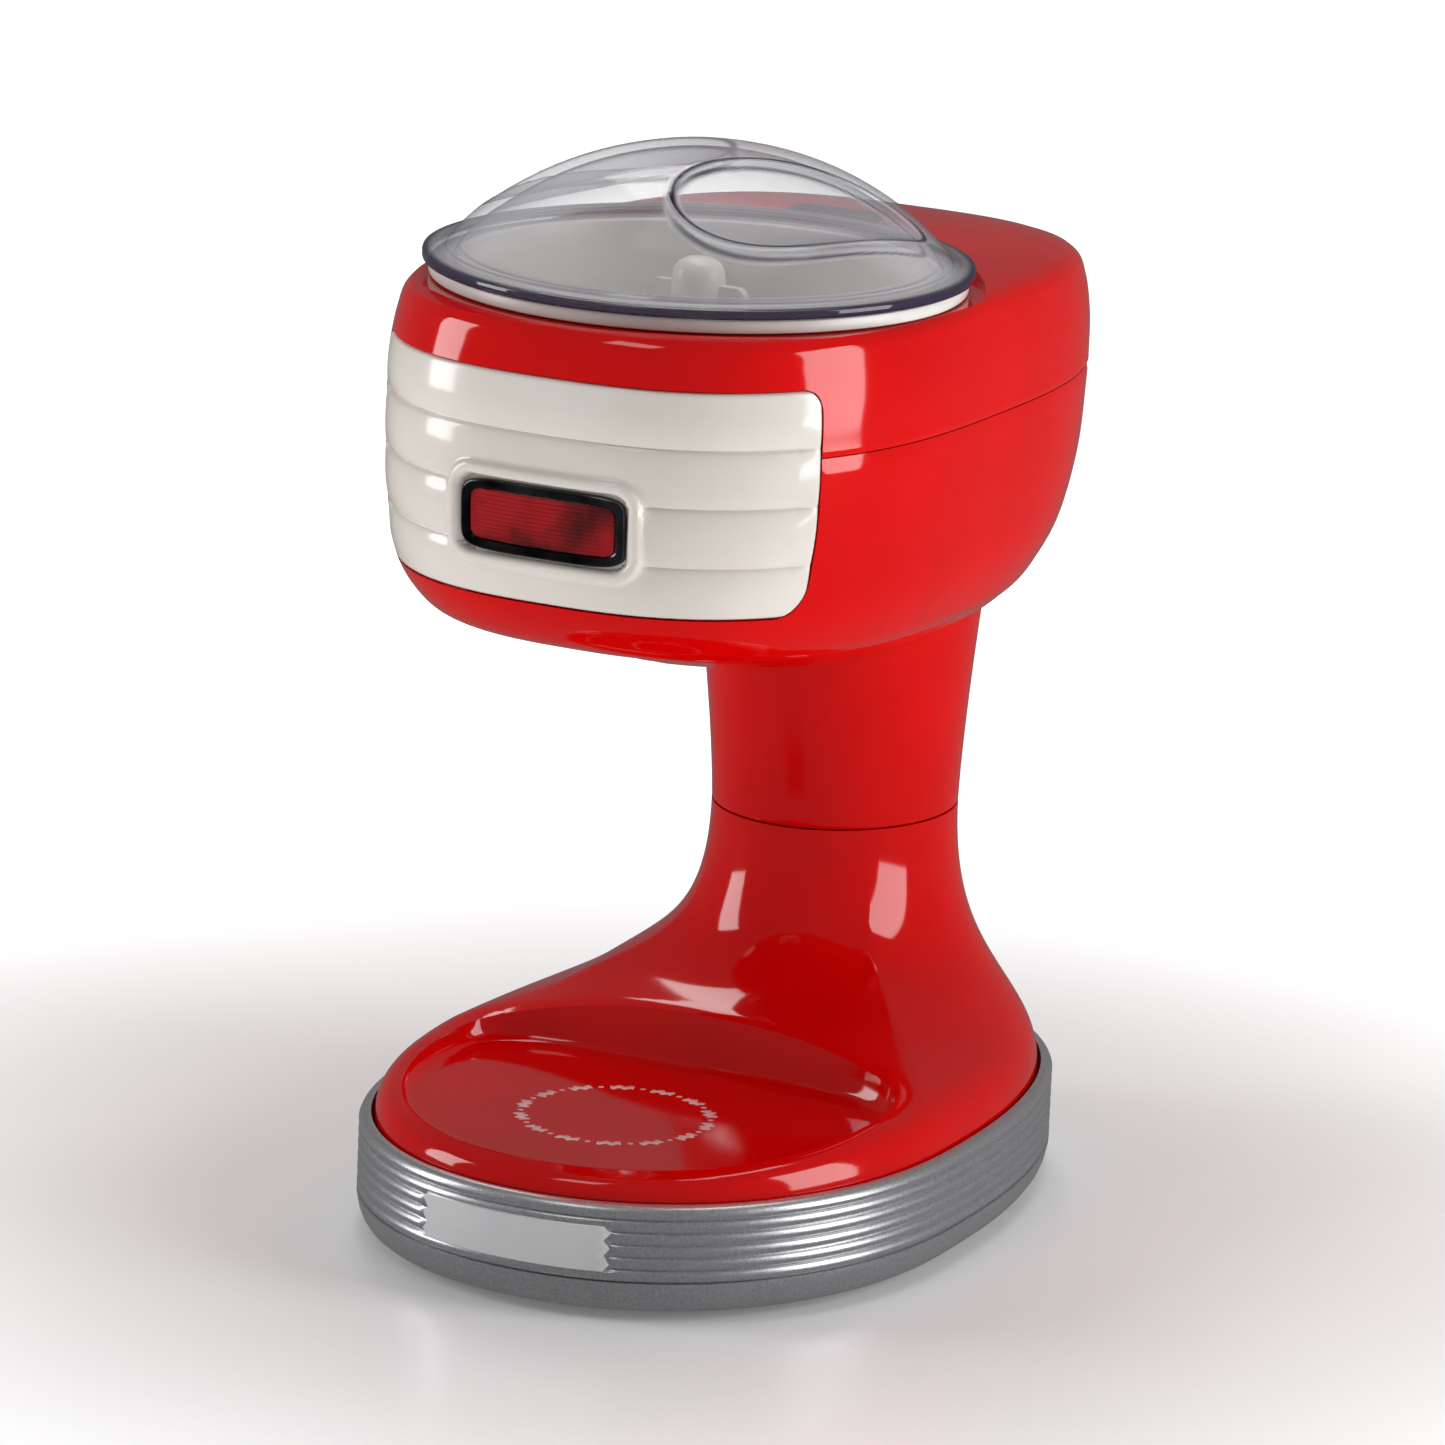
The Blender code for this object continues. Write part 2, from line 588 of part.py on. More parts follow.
def make_lid(clear):
    """Clear lid: scooped dome, flange, and the tongue that presses the switch plunger."""
    shares = (0.12, 0.3, 0.46, 0.62, 0.76, 0.88, 0.96)
    outer = []
    inner = []
    for share in shares:
        plan = circle(LID_FOOT_RADIUS * share, (0.0, BOWL_Y), 0.0, STEPS)
        outer.append([(x, y, lid_height(LID_FOOT_RADIUS * share, x, y)) for x, y, _ in plan])
        inner_plan = circle((LID_FOOT_RADIUS - LID_WALL) * share, (0.0, BOWL_Y), 0.0, STEPS)
        inner.append([(x, y, lid_height(LID_FOOT_RADIUS * share, x, y) - LID_WALL) for x, y, _ in inner_plan])
    axis = (0.0, BOWL_Y)
    foot = [circle(LID_FOOT_RADIUS, axis, LID_FLANGE_TOP, STEPS),
            circle(LID_FLANGE_RADIUS, axis, LID_FLANGE_TOP, STEPS),
            circle(LID_FLANGE_RADIUS, axis, LID_FLANGE_BOTTOM, STEPS),
            circle(LID_FOOT_RADIUS - LID_WALL, axis, LID_FLANGE_BOTTOM, STEPS)]
    lid = loft("lid", outer + foot + inner[::-1], clear, (0.0, BOWL_Y, LID_FLANGE_BOTTOM))
    tongue = box("tongue_guide", (-TONGUE_HALF_WIDTH, BOWL_Y + LID_FLANGE_RADIUS - 3.0, LID_FLANGE_BOTTOM),
                 (TONGUE_HALF_WIDTH, BOWL_Y + TONGUE_REAR, LID_FLANGE_TOP), clear)
    join(lid, tongue)


def make_bowl(white, steel):
    """Ice bowl with its rim, drive collar and blade slot, and the shaving blade under its floor."""
    axis = (0.0, BOWL_Y)
    under = BOWL_FLOOR
    floor = BOWL_FLOOR + 3.0
    bowl = turned("ice_bowl", [
        (10.5, under), (BOWL_FLOOR_RADIUS - 4.0, under), (BOWL_FLOOR_RADIUS, under + 4.0),
        (BOWL_RADIUS, BOWL_RIM_BOTTOM - 3.0), (BOWL_RADIUS, BOWL_RIM_BOTTOM),
        (BOWL_RIM_RADIUS, BOWL_RIM_BOTTOM),
        (BOWL_RIM_RADIUS, BOWL_RIM_TOP), (BOWL_RADIUS - BOWL_WALL, BOWL_RIM_TOP),
        (BOWL_RADIUS - BOWL_WALL, BOWL_RIM_BOTTOM - 3.0), (BOWL_FLOOR_RADIUS - BOWL_WALL, floor + 3.0),
        (BOWL_FLOOR_RADIUS - 5.0, floor), (10.5, floor), (10.5, COLLAR_TOP), (8.5, COLLAR_TOP), (8.5, under),
    ], axis, white, STEPS, (0.0, BOWL_Y, BOWL_FLOOR), closed=True)
    slot = box("slot_guide", (-7.0, BOWL_Y - 50.0, 190.0), (7.0, BOWL_Y - 20.0, 210.0), white)
    cut(bowl, slot)
    blade_low = (3.0, BOWL_Y - 52.0, under - GAP - 1.4)
    blade_high = (18.0, BOWL_Y - 18.0, under - GAP)
    outline = [(blade_low[0], blade_low[1]), (blade_high[0], blade_low[1]), (blade_high[0], blade_high[1]),
               (blade_low[0], blade_high[1])]
    bevel = blade_low[0] + 1.6
    below = [(max(x, bevel), y, blade_low[2]) for x, y in outline]
    above = [(x, y, blade_high[2]) for x, y in outline]
    blade = loft("shaving_blade", [below, above], steel)
    for index, y in enumerate((BOWL_Y - 45.0, BOWL_Y - 25.0), start=1):
        place = (13.0, y)
        head = blade_low[2] - GAP
        turned(f"blade_screw_{index}", [
            (2.4, head - 1.6), (2.6, head), (1.2, head), (1.2, under + 2.0),
        ], place, steel, 10)
        hole = turned(f"blade_hole_guide_{index}", [(1.5, 190.0), (1.5, under + 2.3)], place, steel, 10)
        cut(blade, hole)
        cut(bowl, hole)


def make_rotor(white):
    """Ice rotor: hub over the drive dog, tall centre plate, and three paddles that push the ice round."""
    low = BOWL_FLOOR + 4.0
    pivot = (0.0, BOWL_Y, low)
    rotor = turned("ice_rotor", [
        (14.0, low), (14.0, 213.0), (9.0, 224.0), (7.2, 240.0), (7.2, 264.0), (5.6, 267.6), (2.6, 268.9),
    ], (0.0, BOWL_Y), white, ROUND, pivot)
    plate = box("plate_guide", (-14.5, BOWL_Y - 1.4, 212.0), (14.5, BOWL_Y + 1.4, 262.0), white)
    join(rotor, plate)
    for index in range(3):
        angle = math.radians(30.0 + 120.0 * index)
        along = (math.cos(angle), math.sin(angle))
        outline = []
        for distance, side in ((8.0, -1.4), (51.0, -1.4), (51.0, 1.4), (8.0, 1.4)):
            x = distance * along[0] - side * along[1]
            y = BOWL_Y + distance * along[1] + side * along[0]
            outline.append((x, y))
        paddle = prism(f"paddle_guide_{index}", outline, low, 222.0, white)
        join(rotor, paddle)
    room_profile = [(11.2, 190.0), (11.2, COLLAR_TOP + 0.8)]
    collar_room = turned("collar_room_guide", room_profile, (0.0, BOWL_Y), white, ROUND)
    socket_room = box("socket_guide", (-4.7, BOWL_Y - 4.7, 195.0), (4.7, BOWL_Y + 4.7, 219.0), white)
    cut(rotor, collar_room, socket_room)


def running_bore(shaft_radius, steps):
    """Corner radius of a many-sided bore whose flats stay clear of the turning shaft's corners."""
    return (shaft_radius + RUNNING_GAP) / math.cos(math.pi / steps)


def gear_ring(teeth, module, centre, phase, z):
    """One ring of a spur gear: four points for each tooth, a tooth's middle at the phase angle."""
    pitch = 0.5 * teeth * module
    tooth = 2.0 * math.pi / teeth
    radii = (pitch - 1.2 * module, pitch + 0.86 * module)
    widths = (0.33, 0.11)
    ring = []
    for index in range(teeth):
        middle = phase + index * tooth
        for side, order in ((-1.0, (0, 1)), (1.0, (1, 0))):
            for k in order:
                angle = middle + side * widths[k] * tooth
                x = centre[0] + radii[k] * math.cos(angle)
                y = centre[1] + radii[k] * math.sin(angle)
                ring.append((x, y, z))
    return ring


def gear(name, teeth, module, centre, phase, level, bore, finish, pivot):
    """A spur gear with a round bore, cut through its blank."""
    rings = [gear_ring(teeth, module, centre, phase, z) for z in level]
    wheel = loft(name, rings, finish, pivot)
    if bore > 0.0:
        tool = turned(f"{name}_bore_guide", [(bore, level[0] - 5.0), (bore, level[1] + 12.0)], centre,
                      finish, BORE_STEPS)
        cut(wheel, tool)
    return wheel


def two_circle_point(first, second, first_reach, second_reach):
    """The point at given distances from two others, on the left of the line between them."""
    dx = second[0] - first[0]
    dy = second[1] - first[1]
    span = math.hypot(dx, dy)
    along = (first_reach ** 2 - second_reach ** 2 + span ** 2) / (2.0 * span)
    aside = math.sqrt(first_reach ** 2 - along ** 2)
    return (first[0] + (along * dx - aside * dy) / span, first[1] + (along * dy + aside * dx) / span)


def facing(first, second):
    return math.atan2(second[1] - first[1], second[0] - first[0])


def meshed_phase(centre, teeth, partner, partner_teeth, partner_phase):
    """Phase that puts a gap of this gear where the partner has a tooth, on their line of centres."""
    line = facing(partner, centre)
    partner_pitch = 2.0 * math.pi / partner_teeth
    offset = ((line - partner_phase) / partner_pitch) % 1.0
    own_pitch = 2.0 * math.pi / teeth
    return facing(centre, partner) + own_pitch * (offset + 0.5)


def make_drive(nylon, steel, black, brass, copper):
    """Drive shaft, gear train, gearbox, and motor."""
    output = (0.0, BOWL_Y)
    motor = (0.0, MOTOR_Y)
    output_radius = 0.5 * SLOW_MODULE * OUTPUT_TEETH
    idler_radius = 0.5 * SLOW_MODULE * IDLER_TEETH
    small_radius = 0.5 * SLOW_MODULE * SMALL_TEETH
    large_radius = 0.5 * FAST_MODULE * LARGE_TEETH
    pinion_radius = 0.5 * FAST_MODULE * PINION_TEETH
    reach_idler = output_radius + idler_radius
    idler = (IDLER_X, BOWL_Y + math.sqrt(reach_idler ** 2 - IDLER_X ** 2))
    reduction = two_circle_point(idler, motor, idler_radius + small_radius, large_radius + pinion_radius)

    output_phase = facing(output, idler)
    idler_phase = meshed_phase(idler, IDLER_TEETH, output, OUTPUT_TEETH, output_phase)
    small_phase = meshed_phase(reduction, SMALL_TEETH, idler, IDLER_TEETH, idler_phase)
    large_phase = facing(reduction, motor)
    pinion_phase = meshed_phase(motor, PINION_TEETH, reduction, LARGE_TEETH, large_phase)

    output_pivot = (*output, SLOW_LEVEL[0])
    idler_pivot = (*idler, SLOW_LEVEL[0])
    reduction_pivot = (*reduction, SLOW_LEVEL[0])
    motor_pivot = (*motor, FAST_LEVEL[0])
    gear("output_gear", OUTPUT_TEETH, SLOW_MODULE, output, output_phase, SLOW_LEVEL,
         DRIVE_SHAFT_RADIUS + GAP, nylon, output_pivot)
    pin_bore = running_bore(PIN_RADIUS, BORE_STEPS)
    gear("idler_gear", IDLER_TEETH, SLOW_MODULE, idler, idler_phase, SLOW_LEVEL, pin_bore, nylon,
         idler_pivot)
    small = gear("reduction_gear", SMALL_TEETH, SLOW_MODULE, reduction, small_phase,
                 (SLOW_LEVEL[0], FAST_LEVEL[0] + 0.5), 0.0, nylon, reduction_pivot)
    large_rings = [gear_ring(LARGE_TEETH, FAST_MODULE, reduction, large_phase, z) for z in FAST_LEVEL]
    large = loft("large_wheel_guide", large_rings, nylon)
    bore = turned("reduction_bore_guide", [(pin_bore, 160.0), (pin_bore, 195.0)], reduction, nylon,
                  BORE_STEPS)
    join(small, large)
    cut(small, bore)
    pinion_level = (FAST_LEVEL[0] - 0.5, FAST_LEVEL[1] + 0.5)
    gear("motor_pinion", PINION_TEETH, FAST_MODULE, motor, pinion_phase, pinion_level, 1.6 + GAP, brass,
         motor_pivot)

    bush_bore = running_bore(DRIVE_SHAFT_RADIUS, ROUND)
    shaft_profile = [(DRIVE_SHAFT_RADIUS, TRAY_BOTTOM + 1.0), (DRIVE_SHAFT_RADIUS, 211.0)]
    shaft = turned("drive_shaft", shaft_profile, output, steel, ROUND, output_pivot)
    dog = box("dog_guide", (-4.2, BOWL_Y - 4.2, 209.6), (4.2, BOWL_Y + 4.2, 218.0), steel)
    join(shaft, dog)
    turned("motor_shaft", [(1.6, 181.0), (1.6, MOTOR_TOP + 4.0)], motor, steel, 12, motor_pivot)
    for name, low, high in (("output_bush", TRAY_BOTTOM, SLOW_LEVEL[0] - GAP),
                            ("shaft_seal", GEAR_COVER_BOTTOM, GEAR_COVER_TOP + 2.0)):
        turned(name, [(6.0, low), (6.0, high), (bush_bore, high), (bush_bore, low)], output, brass, ROUND,
               closed=True)
    for name, place, top in (("idler_pin", idler, SLOW_LEVEL[1] + 0.6),
                             ("reduction_pin", reduction, GEAR_COVER_BOTTOM - GAP)):
        turned(name, [(PIN_RADIUS, TRAY_TOP + GAP), (PIN_RADIUS, top)], place, steel, BORE_STEPS)
    cover = make_gearbox(output, motor, black, steel)
    make_motor(motor, motor_pivot, cover, black, steel, copper)


def make_gearbox(output, motor, black, steel):
    """Tray with its screw posts and legs, flat cover, and cover screws."""
    outline = stadium(GEARBOX_HALF_WIDTH, GEARBOX_FRONT, GEARBOX_REAR)
    inner = stadium(GEARBOX_HALF_WIDTH - GEARBOX_WALL, GEARBOX_FRONT + GEARBOX_WALL,
                    GEARBOX_REAR - GEARBOX_WALL)
    rim = GEAR_COVER_BOTTOM - GAP
    tray = loft("gearbox_tray", [
        [(x, y, TRAY_BOTTOM) for x, y in outline], [(x, y, rim) for x, y in outline],
        [(x, y, rim) for x, y in inner], [(x, y, TRAY_TOP) for x, y in inner],
    ], black)
    cover = prism("gearbox_cover", outline, GEAR_COVER_BOTTOM, GEAR_COVER_TOP, black)
    for index, place in enumerate(LEG_PLACES, start=1):
        join(tray, turned(f"leg_guide_{index}", [(2.8, 162.8), (2.8, TRAY_BOTTOM + 0.8)], place, black, 10))
    for index, place in enumerate(POST_PLACES, start=1):
        join(tray, turned(f"post_guide_{index}", [(2.6, TRAY_TOP - 0.8), (2.6, rim)], place, black, 10))
        turned(f"gearbox_screw_{index}", [
            (1.2, 180.0), (1.2, GEAR_COVER_TOP + GAP), (2.6, GEAR_COVER_TOP + GAP),
            (2.2, GEAR_COVER_TOP + 2.2),
        ], place, steel, 10)
        hole = turned(f"post_hole_guide_{index}", [(1.5, 179.0), (1.5, 200.0)], place, steel, 10)
        cut(tray, hole)
        cut(cover, hole)
    cut(tray, turned("bush_seat_guide", [(6.0 + GAP, 150.0), (6.0 + GAP, 174.0)], output, black, 16))
    cut(cover, turned("seal_seat_guide", [(6.0 + GAP, 180.0), (6.0 + GAP, 200.0)], output, black, 16),
        turned("pinion_room_guide", [(5.0, 180.0), (5.0, 200.0)], motor, black, 16))
    return cover


def make_motor(motor, motor_pivot, cover, black, steel, copper):
    """Motor can, end cap, wound core, and the screws that hold the can to the gearbox cover."""
    can = turned("motor_can", [
        (MOTOR_RADIUS, MOTOR_BOTTOM), (MOTOR_RADIUS, MOTOR_TOP), (MOTOR_RADIUS - 1.5, MOTOR_TOP),
        (MOTOR_RADIUS - 1.5, MOTOR_BOTTOM + 2.0), (1.9, MOTOR_BOTTOM + 2.0), (1.9, MOTOR_BOTTOM),
    ], motor, steel, STEPS // 2, closed=True)
    turned("motor_end_cap", [
        (MOTOR_RADIUS, MOTOR_TOP + GAP), (MOTOR_RADIUS, MOTOR_TOP + 3.0), (6.0, MOTOR_TOP + 3.0),
        (5.0, MOTOR_TOP + 6.5), (2.0, MOTOR_TOP + 6.5), (2.0, MOTOR_TOP + GAP),
    ], motor, black, STEPS // 2, closed=True)
    turned("motor_core", [
        (2.0, MOTOR_BOTTOM + 6.0), (14.5, MOTOR_BOTTOM + 6.0), (14.5, MOTOR_TOP - 8.0),
        (2.0, MOTOR_TOP - 8.0),
    ], motor, copper, STEPS // 2, motor_pivot, closed=True)
    for index, x in enumerate((-12.5, 12.5), start=1):
        place = (x, MOTOR_Y)
        turned(f"motor_screw_{index}", [
            (2.2, 188.8), (2.5, 190.1), (1.2, 190.1), (1.2, MOTOR_BOTTOM + 3.5),
        ], place, steel, 10)
        hole_profile = [(1.5, 188.0), (1.5, MOTOR_BOTTOM + 6.0)]
        tool = turned(f"motor_hole_guide_{index}", hole_profile, place, steel, 10)
        cut(cover, tool)
        cut(can, tool)


def stadium(radius, front, rear, steps=8):
    """A long round-ended outline, from its front to its rear."""
    points = []
    for centre_y, start in ((rear - radius, 0.0), (front + radius, math.pi)):
        for i in range(steps + 1):
            turn = start + math.pi * i / steps
            points.append((radius * math.cos(turn), centre_y + radius * math.sin(turn)))
    return points


def make_switch(white, black, steel, green):
    """Safety switch in its holder under the notch, its sprung plunger, and the rectifier board."""
    place = (0.0, PLUNGER_Y)
    top = LID_FLANGE_BOTTOM - GAP
    turned("switch_plunger", [
        (1.3, 250.6), (1.3, 256.4), (3.6, 256.4), (3.6, 257.6), (2.5, 257.6), (2.5, top - 0.8), (1.6, top),
    ], place, white, 12, (0.0, PLUNGER_Y, top))
    switch = box("microswitch", (-SWITCH_HALF_WIDTH, 44.8, SWITCH_BOTTOM),
                 (SWITCH_HALF_WIDTH, 54.4, SWITCH_TOP), black)
    button_profile = [(1.2, SWITCH_TOP - 1.0), (1.2, SWITCH_TOP + 1.2)]
    join(switch, turned("switch_button_guide", button_profile, place, black, 8))
    holder = box("switch_holder", (-12.4, 45.0, 237.6), (12.4, 54.2, 258.6), white)
    room_low = (-SWITCH_HALF_WIDTH - GAP, 40.0, SWITCH_BOTTOM - GAP)
    room_high = (SWITCH_HALF_WIDTH + GAP, 60.0, 270.0)
    cut(holder, box("holder_room_guide", room_low, room_high, white))
    make_spring(place, steel)
    box("rectifier_board", (-16.0, 90.0, 200.0), (16.0, 91.6, 236.0), green)
    turned("board_capacitor", [(3.8, 206.0), (3.8, 222.0)], (4.0, 95.8), black, 12)


def make_spring(place, steel):
    """Coil spring between the microswitch and the plunger's collar."""
    turns = 4
    low = 246.9
    high = 255.7
    radius = 2.55
    wire = 0.42
    steps = turns * 9
    centres = []
    for i in range(steps + 1):
        angle = 2.0 * math.pi * turns * i / steps
        rise = low + (high - low) * i / steps
        centres.append((place[0] + radius * math.cos(angle), place[1] + radius * math.sin(angle), rise))
    add_tube("plunger_spring", centres, wire, 0, steel)


def add_tube(name, centres, radius, resolution, finish):
    """A round wire or lead along a list of centre points."""
    curve = bpy.data.curves.new(name, "CURVE")
    curve.dimensions = "3D"
    curve.bevel_depth = radius * MM
    curve.bevel_resolution = resolution
    curve.use_fill_caps = True
    spline = curve.splines.new("POLY")
    spline.points.add(len(centres) - 1)
    for point, centre in zip(spline.points, centres):
        point.co = (*(value * MM for value in centre), 1.0)
    curve.materials.append(finish)
    tube = bpy.data.objects.new(name, curve)
    bpy.context.scene.collection.objects.link(tube)
    return tube


def between(p, q, r, s, t):
    """Smooth value between q and r, with p and s as the neighbours (a Catmull-Rom curve)."""
    bend = (2 * p - 5 * q + 4 * r - s) * t * t
    twist = (3 * q - p - 3 * r + s) * t ** 3
    return 0.5 * (2 * q + (r - p) * t + bend + twist)


def make_lead(black):
    """Supply lead inside the body: from the gland, up the hollow neck, to the rectifier board."""
    route = ((112.6, 19.0), (106.0, 19.2), (94.0, 24.0), (83.0, 40.0), (78.0, 64.0), (77.0, 90.0),
             (77.0, 118.0), (81.0, 142.0), (88.5, 158.0), (92.6, 174.0), (93.0, 186.0), (92.9, 199.0))
    centres = []
    padded = (route[0],) + route + (route[-1],)
    for a, b, c, d in zip(padded, padded[1:], padded[2:], padded[3:]):
        for t in (0.0, 0.5):
            centres.append((0.0, between(a[0], b[0], c[0], d[0], t), between(a[1], b[1], c[1], d[1], t)))
    centres.append((0.0, *route[-1]))
    add_tube("supply_lead", centres, 1.75, 1, black)


def main():
    clear_scene()
    red = material("red_gloss_abs", (0.72, 0.004, 0.006), 0.12)
    ivory = material("ivory_gloss_abs", (0.80, 0.76, 0.71), 0.2)
    silver = material("silver_paint", (0.55, 0.55, 0.57), 0.32, 0.85)
    white = material("white_abs", (0.78, 0.77, 0.74), 0.35)
    clear = material("clear_san", (0.86, 0.84, 0.90), 0.05, alpha=0.35)
    chrome = material("dark_chrome", (0.12, 0.12, 0.13), 0.15, 1.0)
    lens_red = material("red_lens", (0.35, 0.01, 0.015), 0.08)
    black = material("black_nylon", (0.02, 0.02, 0.022), 0.5)
    rubber = material("black_rubber", (0.015, 0.015, 0.015), 0.8)
    steel = material("steel", (0.55, 0.55, 0.56), 0.28, 1.0)
    nylon = material("natural_nylon", (0.75, 0.73, 0.66), 0.45)
    brass = material("brass", (0.72, 0.52, 0.22), 0.3, 1.0)
    copper = material("copper_winding", (0.62, 0.27, 0.14), 0.4, 1.0)
    green = material("circuit_board", (0.03, 0.16, 0.06), 0.5)

    make_base(red, silver, white, black, rubber, steel)
    make_neck(red, black)
    make_head(red, ivory, chrome, lens_red, white)
    make_bowl(white, steel)
    make_rotor(white)
    make_lid(clear)
    make_drive(nylon, steel, black, brass, copper)
    make_switch(white, black, steel, green)
    make_lead(black)


main()
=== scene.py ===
import math

import bmesh
import bpy
import numpy as np
from mathutils import Matrix, Vector


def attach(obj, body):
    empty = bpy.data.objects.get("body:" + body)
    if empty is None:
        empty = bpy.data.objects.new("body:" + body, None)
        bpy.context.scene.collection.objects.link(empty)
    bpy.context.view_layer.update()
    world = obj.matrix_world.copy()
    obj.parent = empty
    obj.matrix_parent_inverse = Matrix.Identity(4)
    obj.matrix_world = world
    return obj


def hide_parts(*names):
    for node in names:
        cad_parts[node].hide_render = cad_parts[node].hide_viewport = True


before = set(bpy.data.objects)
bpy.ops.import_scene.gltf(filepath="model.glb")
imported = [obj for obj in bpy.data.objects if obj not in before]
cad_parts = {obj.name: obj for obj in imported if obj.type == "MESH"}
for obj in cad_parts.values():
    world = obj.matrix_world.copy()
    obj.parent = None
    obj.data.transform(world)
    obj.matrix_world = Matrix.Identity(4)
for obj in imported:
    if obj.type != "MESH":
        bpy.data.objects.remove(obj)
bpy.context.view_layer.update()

MM = 0.001
TURN = 2.0 * math.pi

# ---------------------------------------------------------------- Studio
# A pale glossy floor under plain soft boxes: a tall one on each side, one overhead, one high in
# front and one high behind. The camera stands right of the front and looks slightly down.

def linear(colour):
    """sRGB hex text to linear red, green, blue and alpha: the standard curve on each channel."""
    channels = np.array([int(colour[i:i + 2], 16) for i in (1, 3, 5)]) / 255.0
    curve = np.where(channels <= 0.04045, channels / 12.92, ((channels + 0.055) / 1.055) ** 2.4)
    return (*curve.tolist(), 1.0)


def node(tree, kind, values=None, links=None, **settings):
    """Add one node, with its settings, its input values and the sockets that feed its inputs."""
    made = tree.nodes.new(kind)
    for name, value in settings.items():
        setattr(made, name, value)
    for name, value in (values or {}).items():
        made.inputs[name].default_value = value
    for name, source in (links or {}).items():
        tree.links.new(source, made.inputs[name])
    return made


def finish_of(name, colour, roughness, metallic=0.0, **sockets):
    """A Principled material with its uniform values on the shader's own sockets."""
    paint = bpy.data.materials.new(name)
    paint.use_nodes = True
    shader = paint.node_tree.nodes["Principled BSDF"]
    shader.inputs["Base Color"].default_value = linear(colour)
    shader.inputs["Roughness"].default_value = roughness
    shader.inputs["Metallic"].default_value = metallic
    for socket, value in sockets.items():
        shader.inputs[socket.replace("_", " ")].default_value = value
    return paint


def surface_detail(paint, light, dark, patch_mm, grain_mm, grain_height_mm, rough_range):
    """Cloudy colour between two hexes at the patch size, fine relief at the grain size, and
    a roughness that drifts between two values, all on Object coordinates in metres."""
    tree = paint.node_tree
    shader = tree.nodes["Principled BSDF"]
    place = node(tree, "ShaderNodeTexCoord").outputs["Object"]
    clouds = node(tree, "ShaderNodeTexNoise", {"Scale": 1000.0 / patch_mm, "Detail": 3.0}, {"Vector": place})
    ramp = node(tree, "ShaderNodeValToRGB", links={"Fac": clouds.outputs["Fac"]})
    ramp.color_ramp.elements[0].position = 0.35
    ramp.color_ramp.elements[0].color = linear(dark)
    ramp.color_ramp.elements[1].position = 0.65
    ramp.color_ramp.elements[1].color = linear(light)
    tree.links.new(ramp.outputs["Color"], shader.inputs["Base Color"])
    drift = node(tree, "ShaderNodeMapRange", {"To Min": rough_range[0], "To Max": rough_range[1]},
                 {"Value": clouds.outputs["Fac"]})
    tree.links.new(drift.outputs["Result"], shader.inputs["Roughness"])
    grain = node(tree, "ShaderNodeTexNoise", {"Scale": 1000.0 / grain_mm, "Detail": 2.0}, {"Vector": place})
    relief = node(tree, "ShaderNodeBump", {"Strength": 1.0, "Distance": grain_height_mm * MM},
                  {"Height": grain.outputs["Fac"]})
    tree.links.new(relief.outputs["Normal"], shader.inputs["Normal"])
    return paint


def soft_box(name, place, target, width, height, power):
    """A rectangular area light at one point, facing another."""
    lamp = bpy.data.lights.new(name, "AREA")
    lamp.shape = "RECTANGLE"
    lamp.size = width
    lamp.size_y = height
    lamp.energy = power
    holder = bpy.data.objects.new(name, lamp)
    bpy.context.scene.collection.objects.link(holder)
    holder.location = place
    aim = Vector(target) - Vector(place)
    holder.rotation_euler = aim.to_track_quat("-Z", "Y").to_euler()


soft_box("left_box", (-1.25, -0.62, 0.5), (0.0, 0.0, 0.16), 0.45, 0.9, 7.0)
soft_box("right_box", (1.25, 0.16, 0.45), (0.0, 0.0, 0.18), 0.62, 1.0, 9.5)
soft_box("top_box", (0.0, 0.25, 1.5), (0.0, 0.0, 0.0), 0.9, 0.7, 6.5)
soft_box("high_front_box", (-0.25, -1.0, 1.6), (0.0, 0.0, 0.1), 0.5, 0.4, 2.0)
soft_box("rear_left_box", (-0.7, 1.0, 1.5), (0.0, 0.0, 0.15), 0.5, 0.6, 3.5)

sky = bpy.data.worlds.new("studio_air")
sky.use_nodes = True
sky.node_tree.nodes["Background"].inputs["Color"].default_value = (1.0, 1.0, 1.0, 1.0)
sky.node_tree.nodes["Background"].inputs["Strength"].default_value = 0.14
bpy.context.scene.world = sky
# The standard curve keeps a saturated red pure where it is bright.
bpy.context.scene.view_settings.view_transform = "Standard"

CAMERA_ROLL = math.radians(2.44)
FLOOR_HALF = 6.0

eye = Vector((0.9647, -1.9102, 0.68195))
aim = Vector((0.0, -0.00696, 0.13637)) - eye
camera = bpy.data.objects.new("camera", bpy.data.cameras.new("camera"))
bpy.context.scene.collection.objects.link(camera)
camera.data.lens = 202.3
camera.data.sensor_width = 36.0
camera.location = eye
level_view = aim.to_track_quat("-Z", "Y").to_matrix()
camera.rotation_euler = (level_view @ Matrix.Rotation(CAMERA_ROLL, 3, "Z")).to_euler()
bpy.context.scene.camera = camera

floor_mesh = bpy.data.meshes.new("floor")
floor_corners = [(x * FLOOR_HALF, y * FLOOR_HALF, 0.0) for x, y in ((-1, -1), (1, -1), (1, 1), (-1, 1))]
floor_mesh.from_pydata(floor_corners, [], [(0, 1, 2, 3)])
floor = bpy.data.objects.new("floor", floor_mesh)
bpy.context.scene.collection.objects.link(floor)
